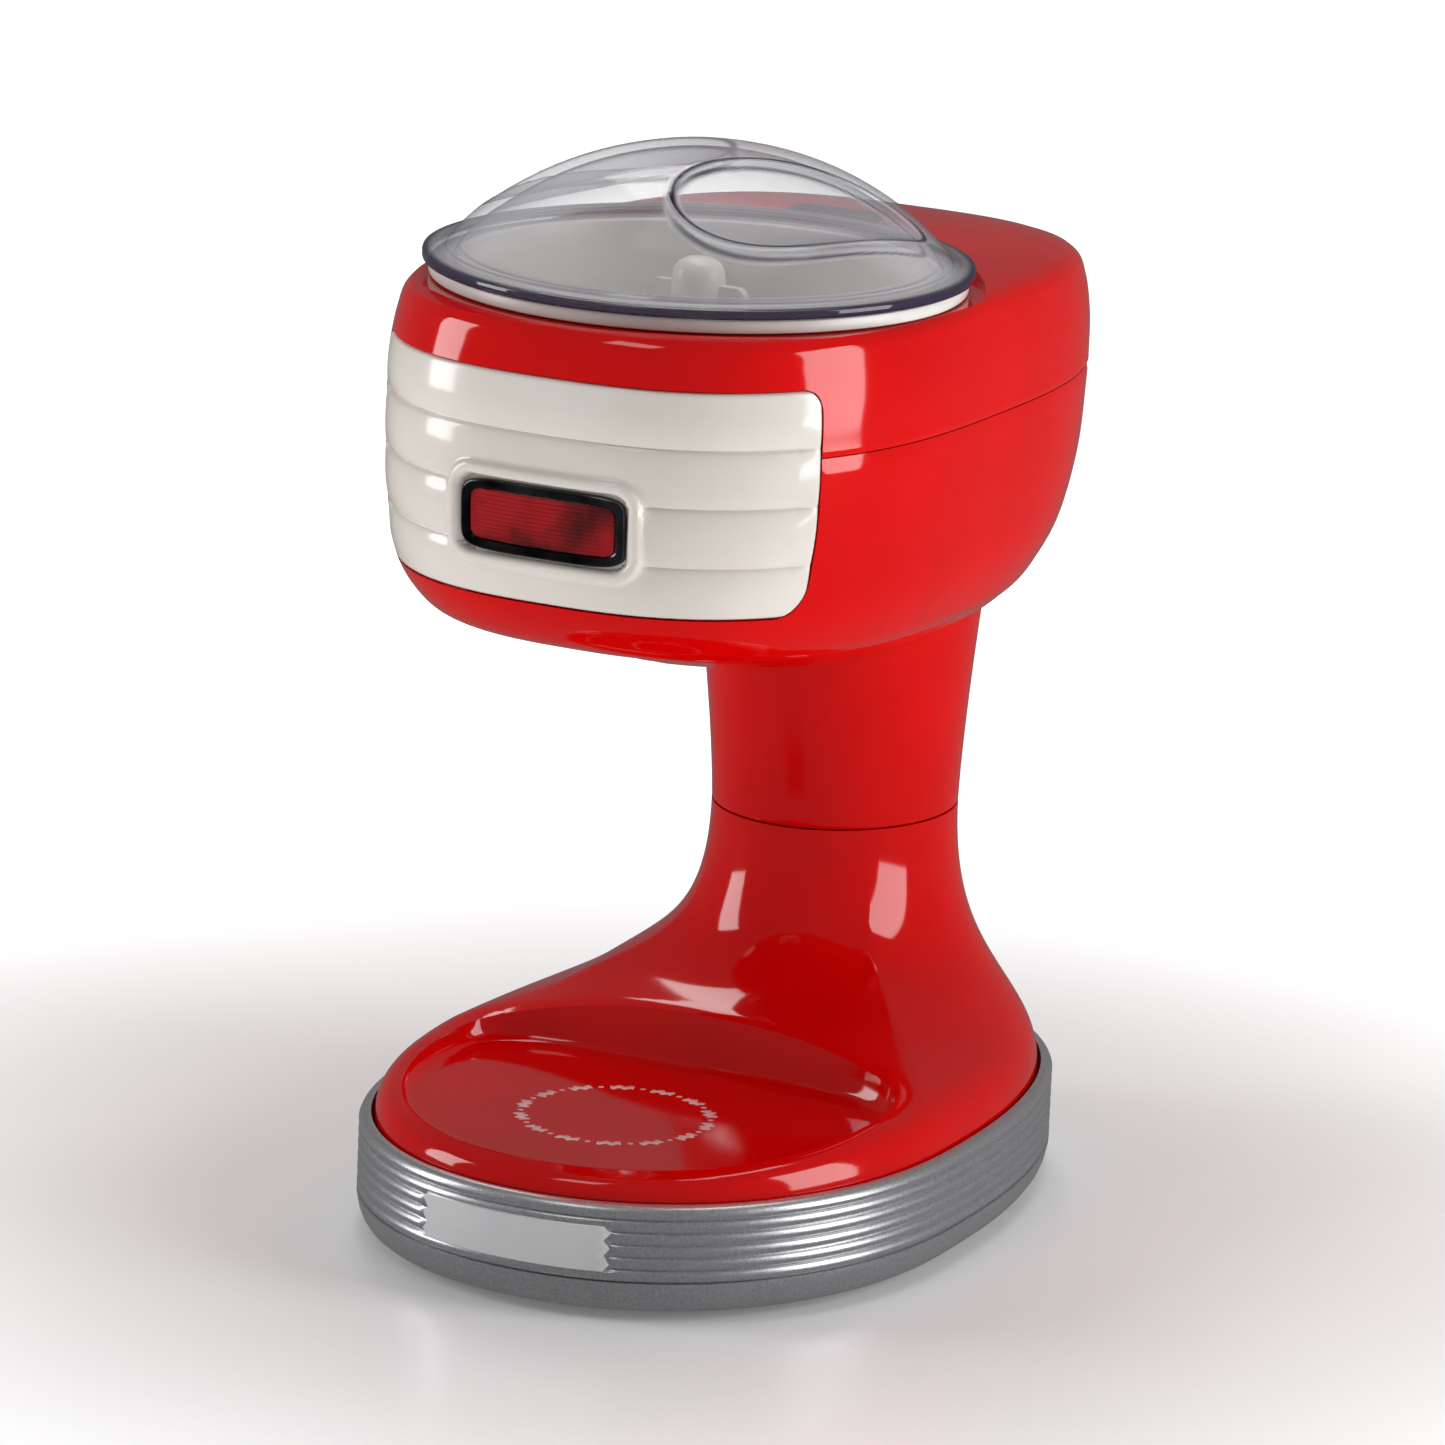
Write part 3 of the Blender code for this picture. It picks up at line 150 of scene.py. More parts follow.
# Opal acrylic sheet lit from beneath: white, faintly glossy, so that it holds a soft reflection.
# Its glow fades towards the middle: a painted shadow under the object.
floor_paint = surface_detail(finish_of("opal_acrylic_sheet", "#F7F7F7", 0.22, Emission_Strength=1.0,
                                       Emission_Color=(1.0, 1.0, 1.0, 1.0)),
                             "#FAFAFA", "#F4F4F4", 400.0, 60.0, 0.01, (0.2, 0.26))
floor_tree = floor_paint.node_tree
floor_place = node(floor_tree, "ShaderNodeTexCoord").outputs["Object"]
from_middle = node(floor_tree, "ShaderNodeVectorMath", links={0: floor_place}, operation="LENGTH")
# Painted shadow: the glow drops to 0.1 within 0.12 m of the middle and rises to 0.85 by 0.5 m.
glow_with_painted_shadow = node(floor_tree, "ShaderNodeMapRange",
            {"From Min": 0.12, "From Max": 0.5, "To Min": 0.1, "To Max": 0.85},
            {"Value": from_middle.outputs["Value"]}, interpolation_type="SMOOTHSTEP")
floor_tree.links.new(glow_with_painted_shadow.outputs["Result"], floor_tree.nodes["Principled BSDF"].inputs["Emission Strength"])
floor_mesh.materials.append(floor_paint)
# The sheet's own glow would veil every downward-facing red surface, so reflections leave it out.
floor.visible_glossy = False


# ---------------------------------------------------------------- Base shell
# One glossy red ABS moulding: a round-nosed foot whose top sweeps up into the neck, with a
# round dish pressed into its front. It drops into the silver band and clips there.

FOOT_HALF_WIDTH = 83.0
FOOT_WIDEST_Y = -19.9
FOOT_FRONT = 99.8       # from the widest line to the nose
FOOT_REAR = 139.6
FOOT_POWERS = (2.11, 2.33)
SHELL_SETBACK = 4.2     # the red shell stands this far inside the band
SHELL_FOOT_Z = 32.6
NECK_Y = 64.7
NECK_HALF_WIDTH = 33.6
NECK_HALF_LENGTH = 38.0
NECK_SEAM_Z = 100.0
DISH_Y = -37.0
DISH_HALF_WIDTH = 66.5
DISH_FRONT = 75.5
DISH_REAR = 28.0
DISH_POWERS = (2.1, 3.5)


def put_mesh(name, points, faces, finish, body, stands_for=(), sharp=35.0):
    """A mesh from an (n, 3) array in millimetres, its faces turned outwards, riding on a body."""
    mesh = bpy.data.meshes.new(name)
    mesh.from_pydata((points.reshape(-1, 3) * MM).tolist(), [], faces)
    shape = bmesh.new()
    shape.from_mesh(mesh)
    bmesh.ops.remove_doubles(shape, verts=shape.verts, dist=0.000005)
    bmesh.ops.recalc_face_normals(shape, faces=shape.faces)
    shape.to_mesh(mesh)
    shape.free()
    mesh.shade_smooth()
    mesh.set_sharp_from_angle(angle=math.radians(sharp))
    mesh.materials.append(finish)
    piece = bpy.data.objects.new(name, mesh)
    bpy.context.scene.collection.objects.link(piece)
    if body:
        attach(piece, body)
    if stands_for:
        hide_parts(*stands_for)
    return piece


def skin(name, rings, finish, body=None, stands_for=(), loop=False, sharp=35.0):
    """Quads between rings, an array (level, point, xyz). A loop joins the last ring to the
    first; otherwise both end rings are capped."""
    levels, count = rings.shape[:2]
    level = np.arange(levels if loop else levels - 1)[:, None]
    at = np.arange(count)[None, :]
    following = (at + 1) % count
    above = (level + 1) % levels
    quads = np.stack([level * count + at, level * count + following, above * count + following,
                      above * count + at], -1).reshape(-1, 4).tolist()
    if not loop:
        quads.append(list(range(count))[::-1])
        quads.append(list(range((levels - 1) * count, levels * count)))
    return put_mesh(name, rings, quads, finish, body, stands_for, sharp)


def carve(piece, cuts=(), joins=(), sharp=35.0):
    """Cut and join closed tool bodies, keep the finished mesh and remove the tools."""
    for operation, tools in (("UNION", joins), ("DIFFERENCE", cuts)):
        for tool in tools:
            step = piece.modifiers.new(tool.name, "BOOLEAN")
            step.operation = operation
            step.solver = "EXACT"
            step.object = tool
    bpy.context.view_layer.update()
    done = bpy.data.meshes.new_from_object(piece.evaluated_get(bpy.context.evaluated_depsgraph_get()))
    piece.modifiers.clear()
    piece.data = done
    while len(done.materials) > 1:
        done.materials.pop()
    done.polygons.foreach_set("material_index", np.zeros(len(done.polygons), np.int32))
    done.shade_smooth()
    done.set_sharp_from_angle(angle=math.radians(sharp))
    for tool in (*cuts, *joins):
        bpy.data.objects.remove(tool)


def oval(half_width, widest_y, front, rear, front_power, rear_power, z, count=240):
    """Superellipse rings: x = w cos^(2/p), y = l sin^(2/p), with its own length l and power p
    in front of and behind the widest line. Sizes may be columns, one row for each ring."""
    turn = TURN * (np.arange(count) + 0.5) / count
    cosine, sine = np.cos(turn), np.sin(turn)
    behind = sine > 0.0
    length = np.where(behind, rear, front)
    power = 2.0 / np.where(behind, rear_power, front_power)
    x = half_width * np.sign(cosine) * np.abs(cosine) ** power
    y = widest_y + length * np.sign(sine) * np.abs(sine) ** power
    return np.stack(np.broadcast_arrays(x, y, z), -1)


def column(*values):
    """Values as a column, one row for each ring."""
    return np.array(values, float)[:, None]


def base_rings(inset, z, count=240):
    """The foot's outline at each height, moved inwards by the inset."""
    return oval(FOOT_HALF_WIDTH - inset, FOOT_WIDEST_Y, FOOT_FRONT - inset, FOOT_REAR - inset, *FOOT_POWERS,
                z, count)


def reach(angle, half_width, widest_y, front, rear, front_power, rear_power):
    """Distance from the neck's axis to an oval in each direction, found by halving."""
    near, far = np.zeros_like(angle), np.full_like(angle, 260.0)
    for _ in range(40):
        middle = 0.5 * (near + far)
        x, y = middle * np.cos(angle), NECK_Y + middle * np.sin(angle) - widest_y
        length, power = np.where(y > 0.0, rear, front), np.where(y > 0.0, rear_power, front_power)
        inside = np.abs(x / half_width) ** power + np.abs(y / length) ** power < 1.0
        near, far = np.where(inside, middle, near), np.where(inside, far, middle)
    return near


def flare(angle, wall, stops):
    """Foot surface by direction from the neck's axis: two cubic curves in radius and height,
    one over the shoulder to a saddle and one up into the neck, moved in by the wall."""
    rim = reach(angle, FOOT_HALF_WIDTH - SHELL_SETBACK, FOOT_WIDEST_Y, FOOT_FRONT - SHELL_SETBACK,
                FOOT_REAR - SHELL_SETBACK, *FOOT_POWERS)
    neck = reach(angle, NECK_HALF_WIDTH, NECK_Y, NECK_HALF_LENGTH, NECK_HALF_LENGTH, 2.0, 2.0)
    run, frontness = rim - neck, 0.5 - 0.5 * np.sin(angle)
    slope = 36.0 / run
    saddle_r, saddle_z = neck + np.minimum(0.48 * run, 40.0), 58.5 - 6.0 * frontness
    half, outer = 0.5 * (saddle_r - neck), np.minimum(0.5 * (rim - saddle_r), 45.0)
    shoulder = np.minimum(20.0, 9.0 + 0.08 * run)
    lower = ((rim, SHELL_FOOT_Z + 0 * rim), (rim - 1.0, SHELL_FOOT_Z + shoulder),
             (saddle_r + outer, saddle_z - slope * outer), (saddle_r, saddle_z))
    upper = ((saddle_r, saddle_z), (saddle_r - half, saddle_z + slope * half),
             (neck, saddle_z + (0.55 - 0.4 * frontness) * (NECK_SEAM_Z - saddle_z)),
             (neck, NECK_SEAM_Z + 0 * neck))
    out = [np.stack([rim - wall, 12.6 + 0 * rim])]
    for curve, places in ((lower, stops), (upper, stops[1:])):
        p = [np.array(point) for point in curve]
        for t in places:
            u = 1.0 - t
            at = u ** 3 * p[0] + 3 * u * u * t * p[1] + 3 * u * t * t * p[2] + t ** 3 * p[3]
            way = u * u * (p[1] - p[0]) + 2 * u * t * (p[2] - p[1]) + t * t * (p[3] - p[2])
            way = way / np.hypot(way[0], way[1])
            out.append(at + wall * np.stack([-way[1], way[0]]))
    r, z = np.array(out)[:, 0], np.array(out)[:, 1]
    return np.stack([r * np.cos(angle), NECK_Y + r * np.sin(angle), z], -1)


def dish_rings(offset, z, count=160):
    """The dish's outline at each height, moved outwards by the offset."""
    return oval(DISH_HALF_WIDTH + offset, DISH_Y, DISH_FRONT + offset, DISH_REAR + offset, *DISH_POWERS,
                z, count)


# Gloss ABS moulded in a polished tool: a deep even red, mirror-like with the faint waviness
# that thick mouldings have. The waviness is drawn at 9 mm so that it shows at this size.
red_abs = surface_detail(finish_of("moulded_gloss_abs_red", "#DA0404", 0.1, IOR=1.54),
                         "#DE0404", "#D00202", 70.0, 9.0, 0.006, (0.05, 0.1))

fine_turn = TURN * (np.arange(300) + 0.5) / 300
coarse_turn = TURN * (np.arange(48) + 0.5) / 48
outside = flare(fine_turn, 0.0, np.linspace(0.0, 1.0, 30))
# The dish's rim rolls over: it drops by up to 1.3 mm, with the square of the nearness, over the
# last 4 mm before the dish.
dx, dy = outside[..., 0], outside[..., 1] - DISH_Y
dish_length = np.where(dy > 0.0, DISH_REAR, DISH_FRONT)
dish_power = np.where(dy > 0.0, DISH_POWERS[1], DISH_POWERS[0])
nearness = (np.abs(dx / DISH_HALF_WIDTH) ** dish_power + np.abs(dy / dish_length) ** dish_power) ** (
    1.0 / dish_power)
rim_gap = (nearness - 1.0) * np.minimum(DISH_HALF_WIDTH, dish_length)
rim_drop = 1.3 * np.clip(1.0 - rim_gap / 4.0, 0.0, 1.0) ** 2
outside[..., 2] -= np.where(outside[..., 2] > 33.0, rim_drop, 0.0)
base_shell = skin("red_base_shell", outside, red_abs, "stand", ("base_shell",))
within = flare(coarse_turn, 3.0, np.linspace(0.0, 1.0, 8))
below, above = within[:1].copy(), within[-1:].copy()
below[..., 2], above[..., 2] = 7.6, 105.0
hollow = skin("hollow_tool", np.concatenate([below, within, above]), red_abs)
backing_rings = dish_rings(column(-4.0, 3.0, 5.0), column(35.6, 40.6, 85.0), 48)
carve(hollow, [skin("backing_tool", backing_rings, red_abs)])
dish_offset = column(-6.0, -3.6, -2.2, -1.2, -0.5, 0.0, 0.4, 1.0, 1.6, 3.0)
dish_z = column(38.6, 38.75, 39.2, 40.0, 41.2, 43.0, 45.6, 50.0, 54.6, 82.0)
dish = skin("dish_tool", dish_rings(dish_offset, dish_z), red_abs)
gland_turn = TURN * np.arange(32) / 32
GLAND_RADIUS, GLAND_Z = 6.3, 19.0
gland_ring = np.stack([GLAND_RADIUS * np.cos(gland_turn), 0 * gland_turn,
                       GLAND_Z + GLAND_RADIUS * np.sin(gland_turn)], -1)
gland_rings = np.stack([gland_ring + (0, 100.0, 0), gland_ring + (0, 130.0, 0)])
carve(base_shell, [hollow, dish, skin("gland_tool", gland_rings, red_abs)], sharp=40.0)

# ---------------------------------------------------------------- Printed ring
# A pale ink ring pad-printed on the dish floor: plain dashes and dots in place of any wording.
# It lies 0.05 mm above the floor and carries no letters.
PRINT_Y, PRINT_Z, PRINT_RADIUS = -60.5, 38.67, 24.2
DASH_HEIGHT, DOT_RADIUS = 2.8, 0.8
dash_count, band_steps = 14, 10
dash = np.arange(dash_count)[:, None, None]
along = np.linspace(0.0, 1.0, band_steps)[None, None, :]
across = np.array([0.0, 1.0])[None, :, None]
turn = TURN * (dash + 0.16 + 0.56 * along) / dash_count
wave = 0.7 * np.sin(TURN * along * 2.0)
radius = PRINT_RADIUS + wave + DASH_HEIGHT * across + 0 * turn
dashes = np.stack([radius * np.cos(turn), PRINT_Y + radius * np.sin(turn), PRINT_Z + 0 * radius], -1)
dashes = dashes.reshape(-1, 3)
dash_faces = []
for index in range(dash_count):
    for step in range(band_steps - 1):
        start = index * 2 * band_steps + step
        dash_faces.append((start, start + 1, start + 1 + band_steps, start + band_steps))
dot_turn = TURN * np.arange(12) / 12
dot_at = TURN * (np.arange(dash_count) + 0.94) / dash_count
middle_radius = PRINT_RADIUS + 0.5 * DASH_HEIGHT
dots = np.stack([middle_radius * np.cos(dot_at)[:, None] + DOT_RADIUS * np.cos(dot_turn),
                 PRINT_Y + middle_radius * np.sin(dot_at)[:, None] + DOT_RADIUS * np.sin(dot_turn),
                 PRINT_Z + np.zeros((dash_count, 12))], -1)
dash_faces += (len(dashes) + 12 * np.arange(dash_count)[:, None] + np.arange(12)).tolist()
ring_points = np.concatenate([dashes, dots.reshape(-1, 3)])
# Pale pink ink, matt against the gloss floor, a little thinner in places.
ink = surface_detail(finish_of("pad_printed_ink", "#F0C4C2", 0.35),
                     "#F6D0CE", "#EAB6B3", 12.0, 0.6, 0.01, (0.3, 0.42))
print_ring = put_mesh("printed_ring", ring_points, dash_faces, ink, "stand")
print_wall = print_ring.modifiers.new("ink_thickness", "SOLIDIFY")
print_wall.thickness = 0.00004

# ---------------------------------------------------------------- Silver band
# A satin silver-painted ABS band round the foot: five fine rolled ribs above a plain rounded
# skirt, with a flange turned in underneath. The red shell sits inside its top edge.
RIB_LOW, RIB_HIGH, RIB_PITCH, RIB_DEPTH = 11.6, 30.4, 3.42, 1.15
LABEL_LOW, LABEL_HIGH, LABEL_HALF_WIDTH = 14.3, 26.9, 28.0

rib_z = np.linspace(RIB_LOW, RIB_HIGH, 110)
rib_depth = RIB_DEPTH * (1.0 - np.abs(np.sin(np.pi * (rib_z - RIB_LOW) / RIB_PITCH)) ** 0.55)
skirt_inset, skirt_z = (6.0, 3.9, 2.4, 1.3, 0.6, 0.2, 0.0, 0.0), (2.4, 3.0, 4.2, 5.8, 7.6, 9.4, 10.6, 11.5)
rim_inset = (0.35, 1.0, 1.8, 2.8, 3.2, 3.2, 7.4, 12.0, 12.0)
rim_z = (31.2, 32.0, 32.4, 32.6, 32.6, 12.0, 5.4, 5.4, 2.4)
band_inset = column(*skirt_inset, *rib_depth, *rim_inset)
band_z = column(*skirt_z, *rib_z, *rim_z)
band_turn = TURN * (np.arange(240) + 0.5) / 240
band_x = FOOT_HALF_WIDTH * np.sign(np.cos(band_turn)) * np.abs(np.cos(band_turn)) ** (2.0 / FOOT_POWERS[0])
# The ribs are left out behind the label, where the band is flat.
under_label = ((np.abs(band_x) < LABEL_HALF_WIDTH - 0.4) & (np.sin(band_turn) < 0.0)
               & (np.abs(band_z - 0.5 * (LABEL_LOW + LABEL_HIGH)) < 6.3) & (band_inset < 2.0))
band_inset = np.where(under_label, 1.3, band_inset)

# Silver metallic paint over ABS: fine aluminium flake in clear lacquer, satin, with a painted glint: the
# colour is brighter in specks where the flake lies flat. Flake drawn at 0.7 mm, coarser than real, so that it
# shows.
silver_paint = surface_detail(finish_of("silver_metallic_paint", "#C9CACD", 0.3, 0.75, Coat_Weight=0.3,
                                        Coat_Roughness=0.15),
                              "#CFD0D3", "#B9BABE", 0.7, 0.7, 0.004, (0.26, 0.36))
silver_band = skin("silver_ribbed_band", base_rings(band_inset, band_z), silver_paint, "stand",
                   ("base_band",), loop=True, sharp=50.0)
carve(silver_band, [skin("gland_tool_2", gland_rings, silver_paint)], sharp=50.0)

# ---------------------------------------------------------------- Blank label
# A thin gloss plate stuck in the middle of the band's front, with zigzag ends like a ribbon.
# It is left blank.

def slab(name, front, back, finish, body=None, stands_for=(), sharp=35.0):
    """A closed slab between two equal grids, an array (row, column, xyz) each: both faces and
    the strip of quads round their four edges."""
    rows, columns = front.shape[:2]
    number = np.arange(rows * columns).reshape(rows, columns)
    quads = np.stack([number[:-1, :-1], number[:-1, 1:], number[1:, 1:], number[1:, :-1]], -1).reshape(-1, 4)
    edge = np.concatenate([number[0, :], number[1:, -1], number[-1, -2::-1], number[-2:0:-1, 0]])
    following = np.roll(edge, -1)
    shift = rows * columns
    sides = np.stack([edge, following, following + shift, edge + shift], -1)
    faces = np.concatenate([quads, quads[:, ::-1] + shift, sides]).tolist()
    return put_mesh(name, np.concatenate([front.reshape(-1, 3), back.reshape(-1, 3)]), faces, finish, body,
                    stands_for, sharp)


label_z = np.linspace(LABEL_LOW, LABEL_HIGH, 49)[:, None]
zigzag = np.abs(((label_z - LABEL_LOW) / 4.2) % 1.0 - 0.5) * 2.0
label_half = LABEL_HALF_WIDTH - 1.7 * zigzag
label_x = label_half * np.linspace(-1.0, 1.0, 61)[None, :]
label_y = FOOT_WIDEST_Y - FOOT_FRONT * (1.0 - np.abs(label_x / FOOT_HALF_WIDTH) ** FOOT_POWERS[0]) ** (
    1.0 / FOOT_POWERS[0])
label_edge = np.minimum(np.minimum(label_z - LABEL_LOW, LABEL_HIGH - label_z) + 0 * label_x,
                        label_half - np.abs(label_x))
label_crown = 0.35 * np.clip(1.0 - label_edge / 0.5, 0.0, 1.0) ** 2
label_front = np.stack([label_x, label_y - 0.3 + label_crown, label_z + 0 * label_x], -1)
label_back = np.stack([label_x, label_y + 1.0, label_z + 0 * label_x], -1)
# Pale silver film under gloss lacquer: nearly white, with a very faint ripple from the ribs.
label_gloss = surface_detail(finish_of("gloss_silver_label_film", "#E4E4E6", 0.16, 0.1),
                             "#E8E8EA", "#DEDEE1", 30.0, 2.0, 0.004, (0.14, 0.2))
slab("blank_label_plate", label_front, label_back, label_gloss, "stand", ("label_plate",),
     sharp=50.0)

# ---------------------------------------------------------------- Neck
# A second red moulding: an oval tube that stands on the foot's seam and widens under the head.
# Both of its ends have a small round, which draws the thin line of each seam.
neck_z = np.concatenate([[100.3, 100.45, 100.8, 101.4], np.linspace(103.0, 156.8, 30), [157.7, 158.1, 158.2]])
neck_round = np.concatenate([[0.6, 0.28, 0.06, 0.0], np.zeros(30), [0.05, 0.25, 0.5]])
NECK_HEIGHT = 58.2
rise = (np.maximum(neck_z - NECK_SEAM_Z, 0.0) / NECK_HEIGHT) ** 1.4


def neck_rings(z, rise, inset):
    """The neck's oval at each height: wider, and most of all longer in front, as it rises."""
    return oval((NECK_HALF_WIDTH + 4.4 * rise - inset)[:, None], NECK_Y,
                (NECK_HALF_LENGTH + 10.0 * rise - inset)[:, None],
                (NECK_HALF_LENGTH + 2.6 * rise - inset)[:, None], 2.0, 2.0, z[:, None], 200)


neck_wall = neck_rings(neck_z[::-6], rise[::-6], 3.0 + 0 * neck_z[::-6])
skin("red_neck", np.concatenate([neck_rings(neck_z, rise, neck_round), neck_wall]), red_abs, "stand",
     ("neck_column",), loop=True)

# ---------------------------------------------------------------- Head
# Two red mouldings that meet in a thin seam: a deep lower bowl screwed to the neck, and a top
# cover with a round well for the ice bowl and a notch over the safety switch.

def smooth_rows(rows, samples):
    """Rows of sizes made into many: a Hermite curve through each column, with the slopes taken
    from neighbouring rows, along the length of the profile."""
    table = np.array(rows, float)
    length = np.concatenate([[0.0], np.cumsum(np.sqrt((np.diff(table[:, :4], axis=0) ** 2).sum(1)))])
    slope = np.gradient(table, length, axis=0)
    at = np.unique(np.concatenate([np.linspace(0.0, length[-1], samples), length]))
    cell = np.clip(np.searchsorted(length, at, "right") - 1, 0, len(length) - 2)
    span = (length[cell + 1] - length[cell])[:, None]
    t = (at - length[cell])[:, None] / span
    return ((2 * t ** 3 - 3 * t ** 2 + 1) * table[cell] + (t ** 3 - 2 * t ** 2 + t) * span * slope[cell]
            + (3 * t ** 2 - 2 * t ** 3) * table[cell + 1] + (t ** 3 - t ** 2) * span * slope[cell + 1])


def head_rings(rows, inset=0.0, lift=0.0, count=240):
    """Rings from rows of height, half width, widest y, front y, rear y and two powers."""
    z, half_width, widest_y, front_y, rear_y, front_power, rear_power = (rows[:, k:k + 1] for k in range(7))
    return oval(half_width - inset, widest_y, widest_y - front_y - inset, rear_y - widest_y - inset,
                front_power, rear_power, z + lift, count)


SEAM_Z = 232.0
TOP_Z = 262.5
BOWL_AXIS = (0.0, -32.0)
# Height, half width, widest y, front y, rear y, front power and rear power, from the bottom up.
LOWER = ((158.5, 40.5, 42, -22, 106.6, 2.2, 2.3), (160.5, 44, 30, -34, 106.4, 2.4, 2.25),
         (164.5, 51, 16, -54, 106, 2.6, 2.2), (171, 61, 6, -83, 105.5, 2.7, 2.2),
         (179, 69, -1, -104, 105.3, 2.7, 2.3), (190, 74, -6, -113, 105.6, 2.65, 2.55),
         (207, 76.4, -9, -115.6, 106.4, 2.65, 2.85), (232, 77.3, -10, -116, 107.2, 2.65, 3.0))
UPPER = ((232.3, 77.3, -10, -116, 107.2, 2.65, 3), (247, 76.8, -10, -115.5, 107, 2.65, 3),
         (256, 75.4, -10, -113.6, 105.4, 2.65, 3), (260.5, 74.2, -10, -112, 103, 2.65, 3),
         (262.5, 72.6, -10, -110.4, 100, 2.65, 3))


def turned(name, profile, centre, finish, body=None, stands_for=(), loop=False, count=96):
    """A profile of (radius, height) pairs carried round a vertical axis."""
    radius, z = np.array(profile, float).T[..., None]
    turn = TURN * np.arange(count) / count
    rings = np.stack(np.broadcast_arrays(centre[0] + radius * np.cos(turn),
                                         centre[1] + radius * np.sin(turn), z), -1)
    return skin(name, rings, finish, body, stands_for, loop)


def block(name, low, high, finish):
    """A cutting block between two corners."""
    x, y = np.array([low[0], high[0], high[0], low[0]]), np.array([low[1], low[1], high[1], high[1]])
    return skin(name, np.stack([np.stack([x, y, 0 * x + z], -1) for z in (low[2], high[2])]), finish)


lower_rows = smooth_rows(LOWER, 70)
seam_round = np.clip(1.0 - (SEAM_Z - lower_rows[:, :1]) / 0.7, 0.0, 1.0) ** 2 * 0.5
head_lower = skin("red_head_lower", head_rings(lower_rows, seam_round), red_abs, "stand",
                  ("head_lower_shell",))
inner_rows = np.array(LOWER, float)
inner_lift = column(3.0, *([1.5] * 6), 5.0)
lower_hollow = skin("lower_hollow_tool", head_rings(inner_rows, 3.0, inner_lift, 64), red_abs)
bore = neck_rings(np.array([150.0, 166.0]), np.array([1.0, 1.0]), np.array([8.0, 8.0]))[:, ::4]
outlet_plan = np.array([(-18.6, -94.6), (18.6, -94.6), (18.6, -59.9), (-18.6, -59.9)])
outlet_rings = np.stack([np.column_stack([outlet_plan, np.full(4, z)]) for z in (140.0, 186.0)])
outlet = skin("outlet_tool", outlet_rings, red_abs)

upper_rows = smooth_rows(UPPER, 40)
upper_round = np.clip(1.0 - (upper_rows[:, :1] - 232.3) / 0.7, 0.0, 1.0) ** 2 * 0.5
top_rings = head_rings(upper_rows, upper_round)
crown_share = np.linspace(1.0, 0.03, 22)[1:, None]
crown_height = TOP_Z + 4.1 * (1.0 - crown_share ** 2) ** 0.62
CROWN_Y = 40.0
lip = top_rings[-1]
crown = np.stack([lip[:, 0] * crown_share, CROWN_Y + (lip[:, 1] - CROWN_Y) * crown_share,
                  crown_height + 0 * lip[:, 0]], -1)
head_top = skin("red_head_top", np.concatenate([top_rings, crown]), red_abs, "stand", ("head_top_cover",))
cap_rows = np.array((UPPER[0], *UPPER[1:-2], UPPER[-2]), float)
top_hollow = skin("top_hollow_tool", head_rings(cap_rows, column(3, *([3] * (len(UPPER) - 3)), 4),
                                                column(-5, *([0] * (len(UPPER) - 3)), -1), 64), red_abs)
CUT_TOP = 290.0
well = turned("well_tool", [(76.0, TOP_Z), (76.0, CUT_TOP)], BOWL_AXIS, red_abs, count=160)
mouth = turned("mouth_tool", [(68.6, SEAM_Z), (68.6, CUT_TOP)], BOWL_AXIS, red_abs, count=160)
notch = block("notch_tool", (-14, 35, TOP_Z), (14, 56, CUT_TOP), red_abs)
pin_hole = turned("pin_hole_tool", [(2.8, SEAM_Z), (2.8, CUT_TOP)], (0, 49), red_abs, count=32)

# ---------------------------------------------------------------- Front panel
# A clip-in panel of ivory gloss ABS set flush in both head mouldings, with four rolled bands
# across it and a raised bezel round the badge. A thin dark gap runs all round it.

PANEL_LOW, PANEL_HIGH, PANEL_REACH_Y = 190.0, 250.0, 84.0
PANEL_HALF_WIDTH = 96.0     # measured round the curve
BADGE_Z = 212.0
BADGE_POWER = 6.5
HEAD_PROFILE = smooth_rows((*LOWER, *UPPER[1:]), 400)


def front_sizes(z):
    """The head's half width, widest y, front y and front power at each height."""
    return (np.interp(z, HEAD_PROFILE[:, 0], HEAD_PROFILE[:, k]) for k in (1, 2, 3, 5))


def head_front(z, side, proud):
    """Points across the head's front at each height: the head's own oval between two stations
    on its sides, pushed out by the proud height. Side runs from -1 to 1 across the panel."""
    half_width, widest_y, front_y, power = front_sizes(z)
    length, half_width = widest_y - front_y + proud, half_width + proud
    start = np.arcsin(((widest_y + PANEL_REACH_Y) / (widest_y - front_y)) ** (0.5 * power))
    turn = 1.5 * np.pi + side * (0.5 * np.pi - start)
    cosine, sine = np.cos(turn), np.sin(turn)
    x = half_width * np.sign(cosine) * np.abs(cosine) ** (2.0 / power)
    return np.stack([x, widest_y - length * np.abs(sine) ** (2.0 / power), z + 0 * x], -1)


def panel_grid(margin, rows, columns, proud):
    """The panel's outline as a grid: its rows narrow over the last few millimetres so that the
    corners are round, small ones above and larger ones below."""
    t = 0.5 - 0.5 * np.cos(np.pi * np.linspace(0.0, 1.0, rows))
    height = PANEL_HIGH - PANEL_LOW + 2.0 * margin
    z = (PANEL_LOW - margin + height * (0.35 * t + 0.65 * np.linspace(0.0, 1.0, rows)))[:, None]
    into_top = np.clip(1.0 - (PANEL_HIGH + margin - z) / 6.0, 0, 1)
    into_bottom = np.clip(1.0 - (z - PANEL_LOW + margin) / 10.0, 0, 1)
    corner = 6.0 * (1.0 - np.sqrt(1.0 - into_top ** 2)) + 10.0 * (1.0 - np.sqrt(1.0 - into_bottom ** 2))
    across = np.linspace(-1.0, 1.0, columns)[None, :]
    side = (np.sin(0.5 * np.pi * across) * 0.3 + 0.7 * across) * (1.0 + (margin - corner) / PANEL_HALF_WIDTH)
    return z + 0 * side, side, proud(z + 0 * side, side) if callable(proud) else proud + 0 * side


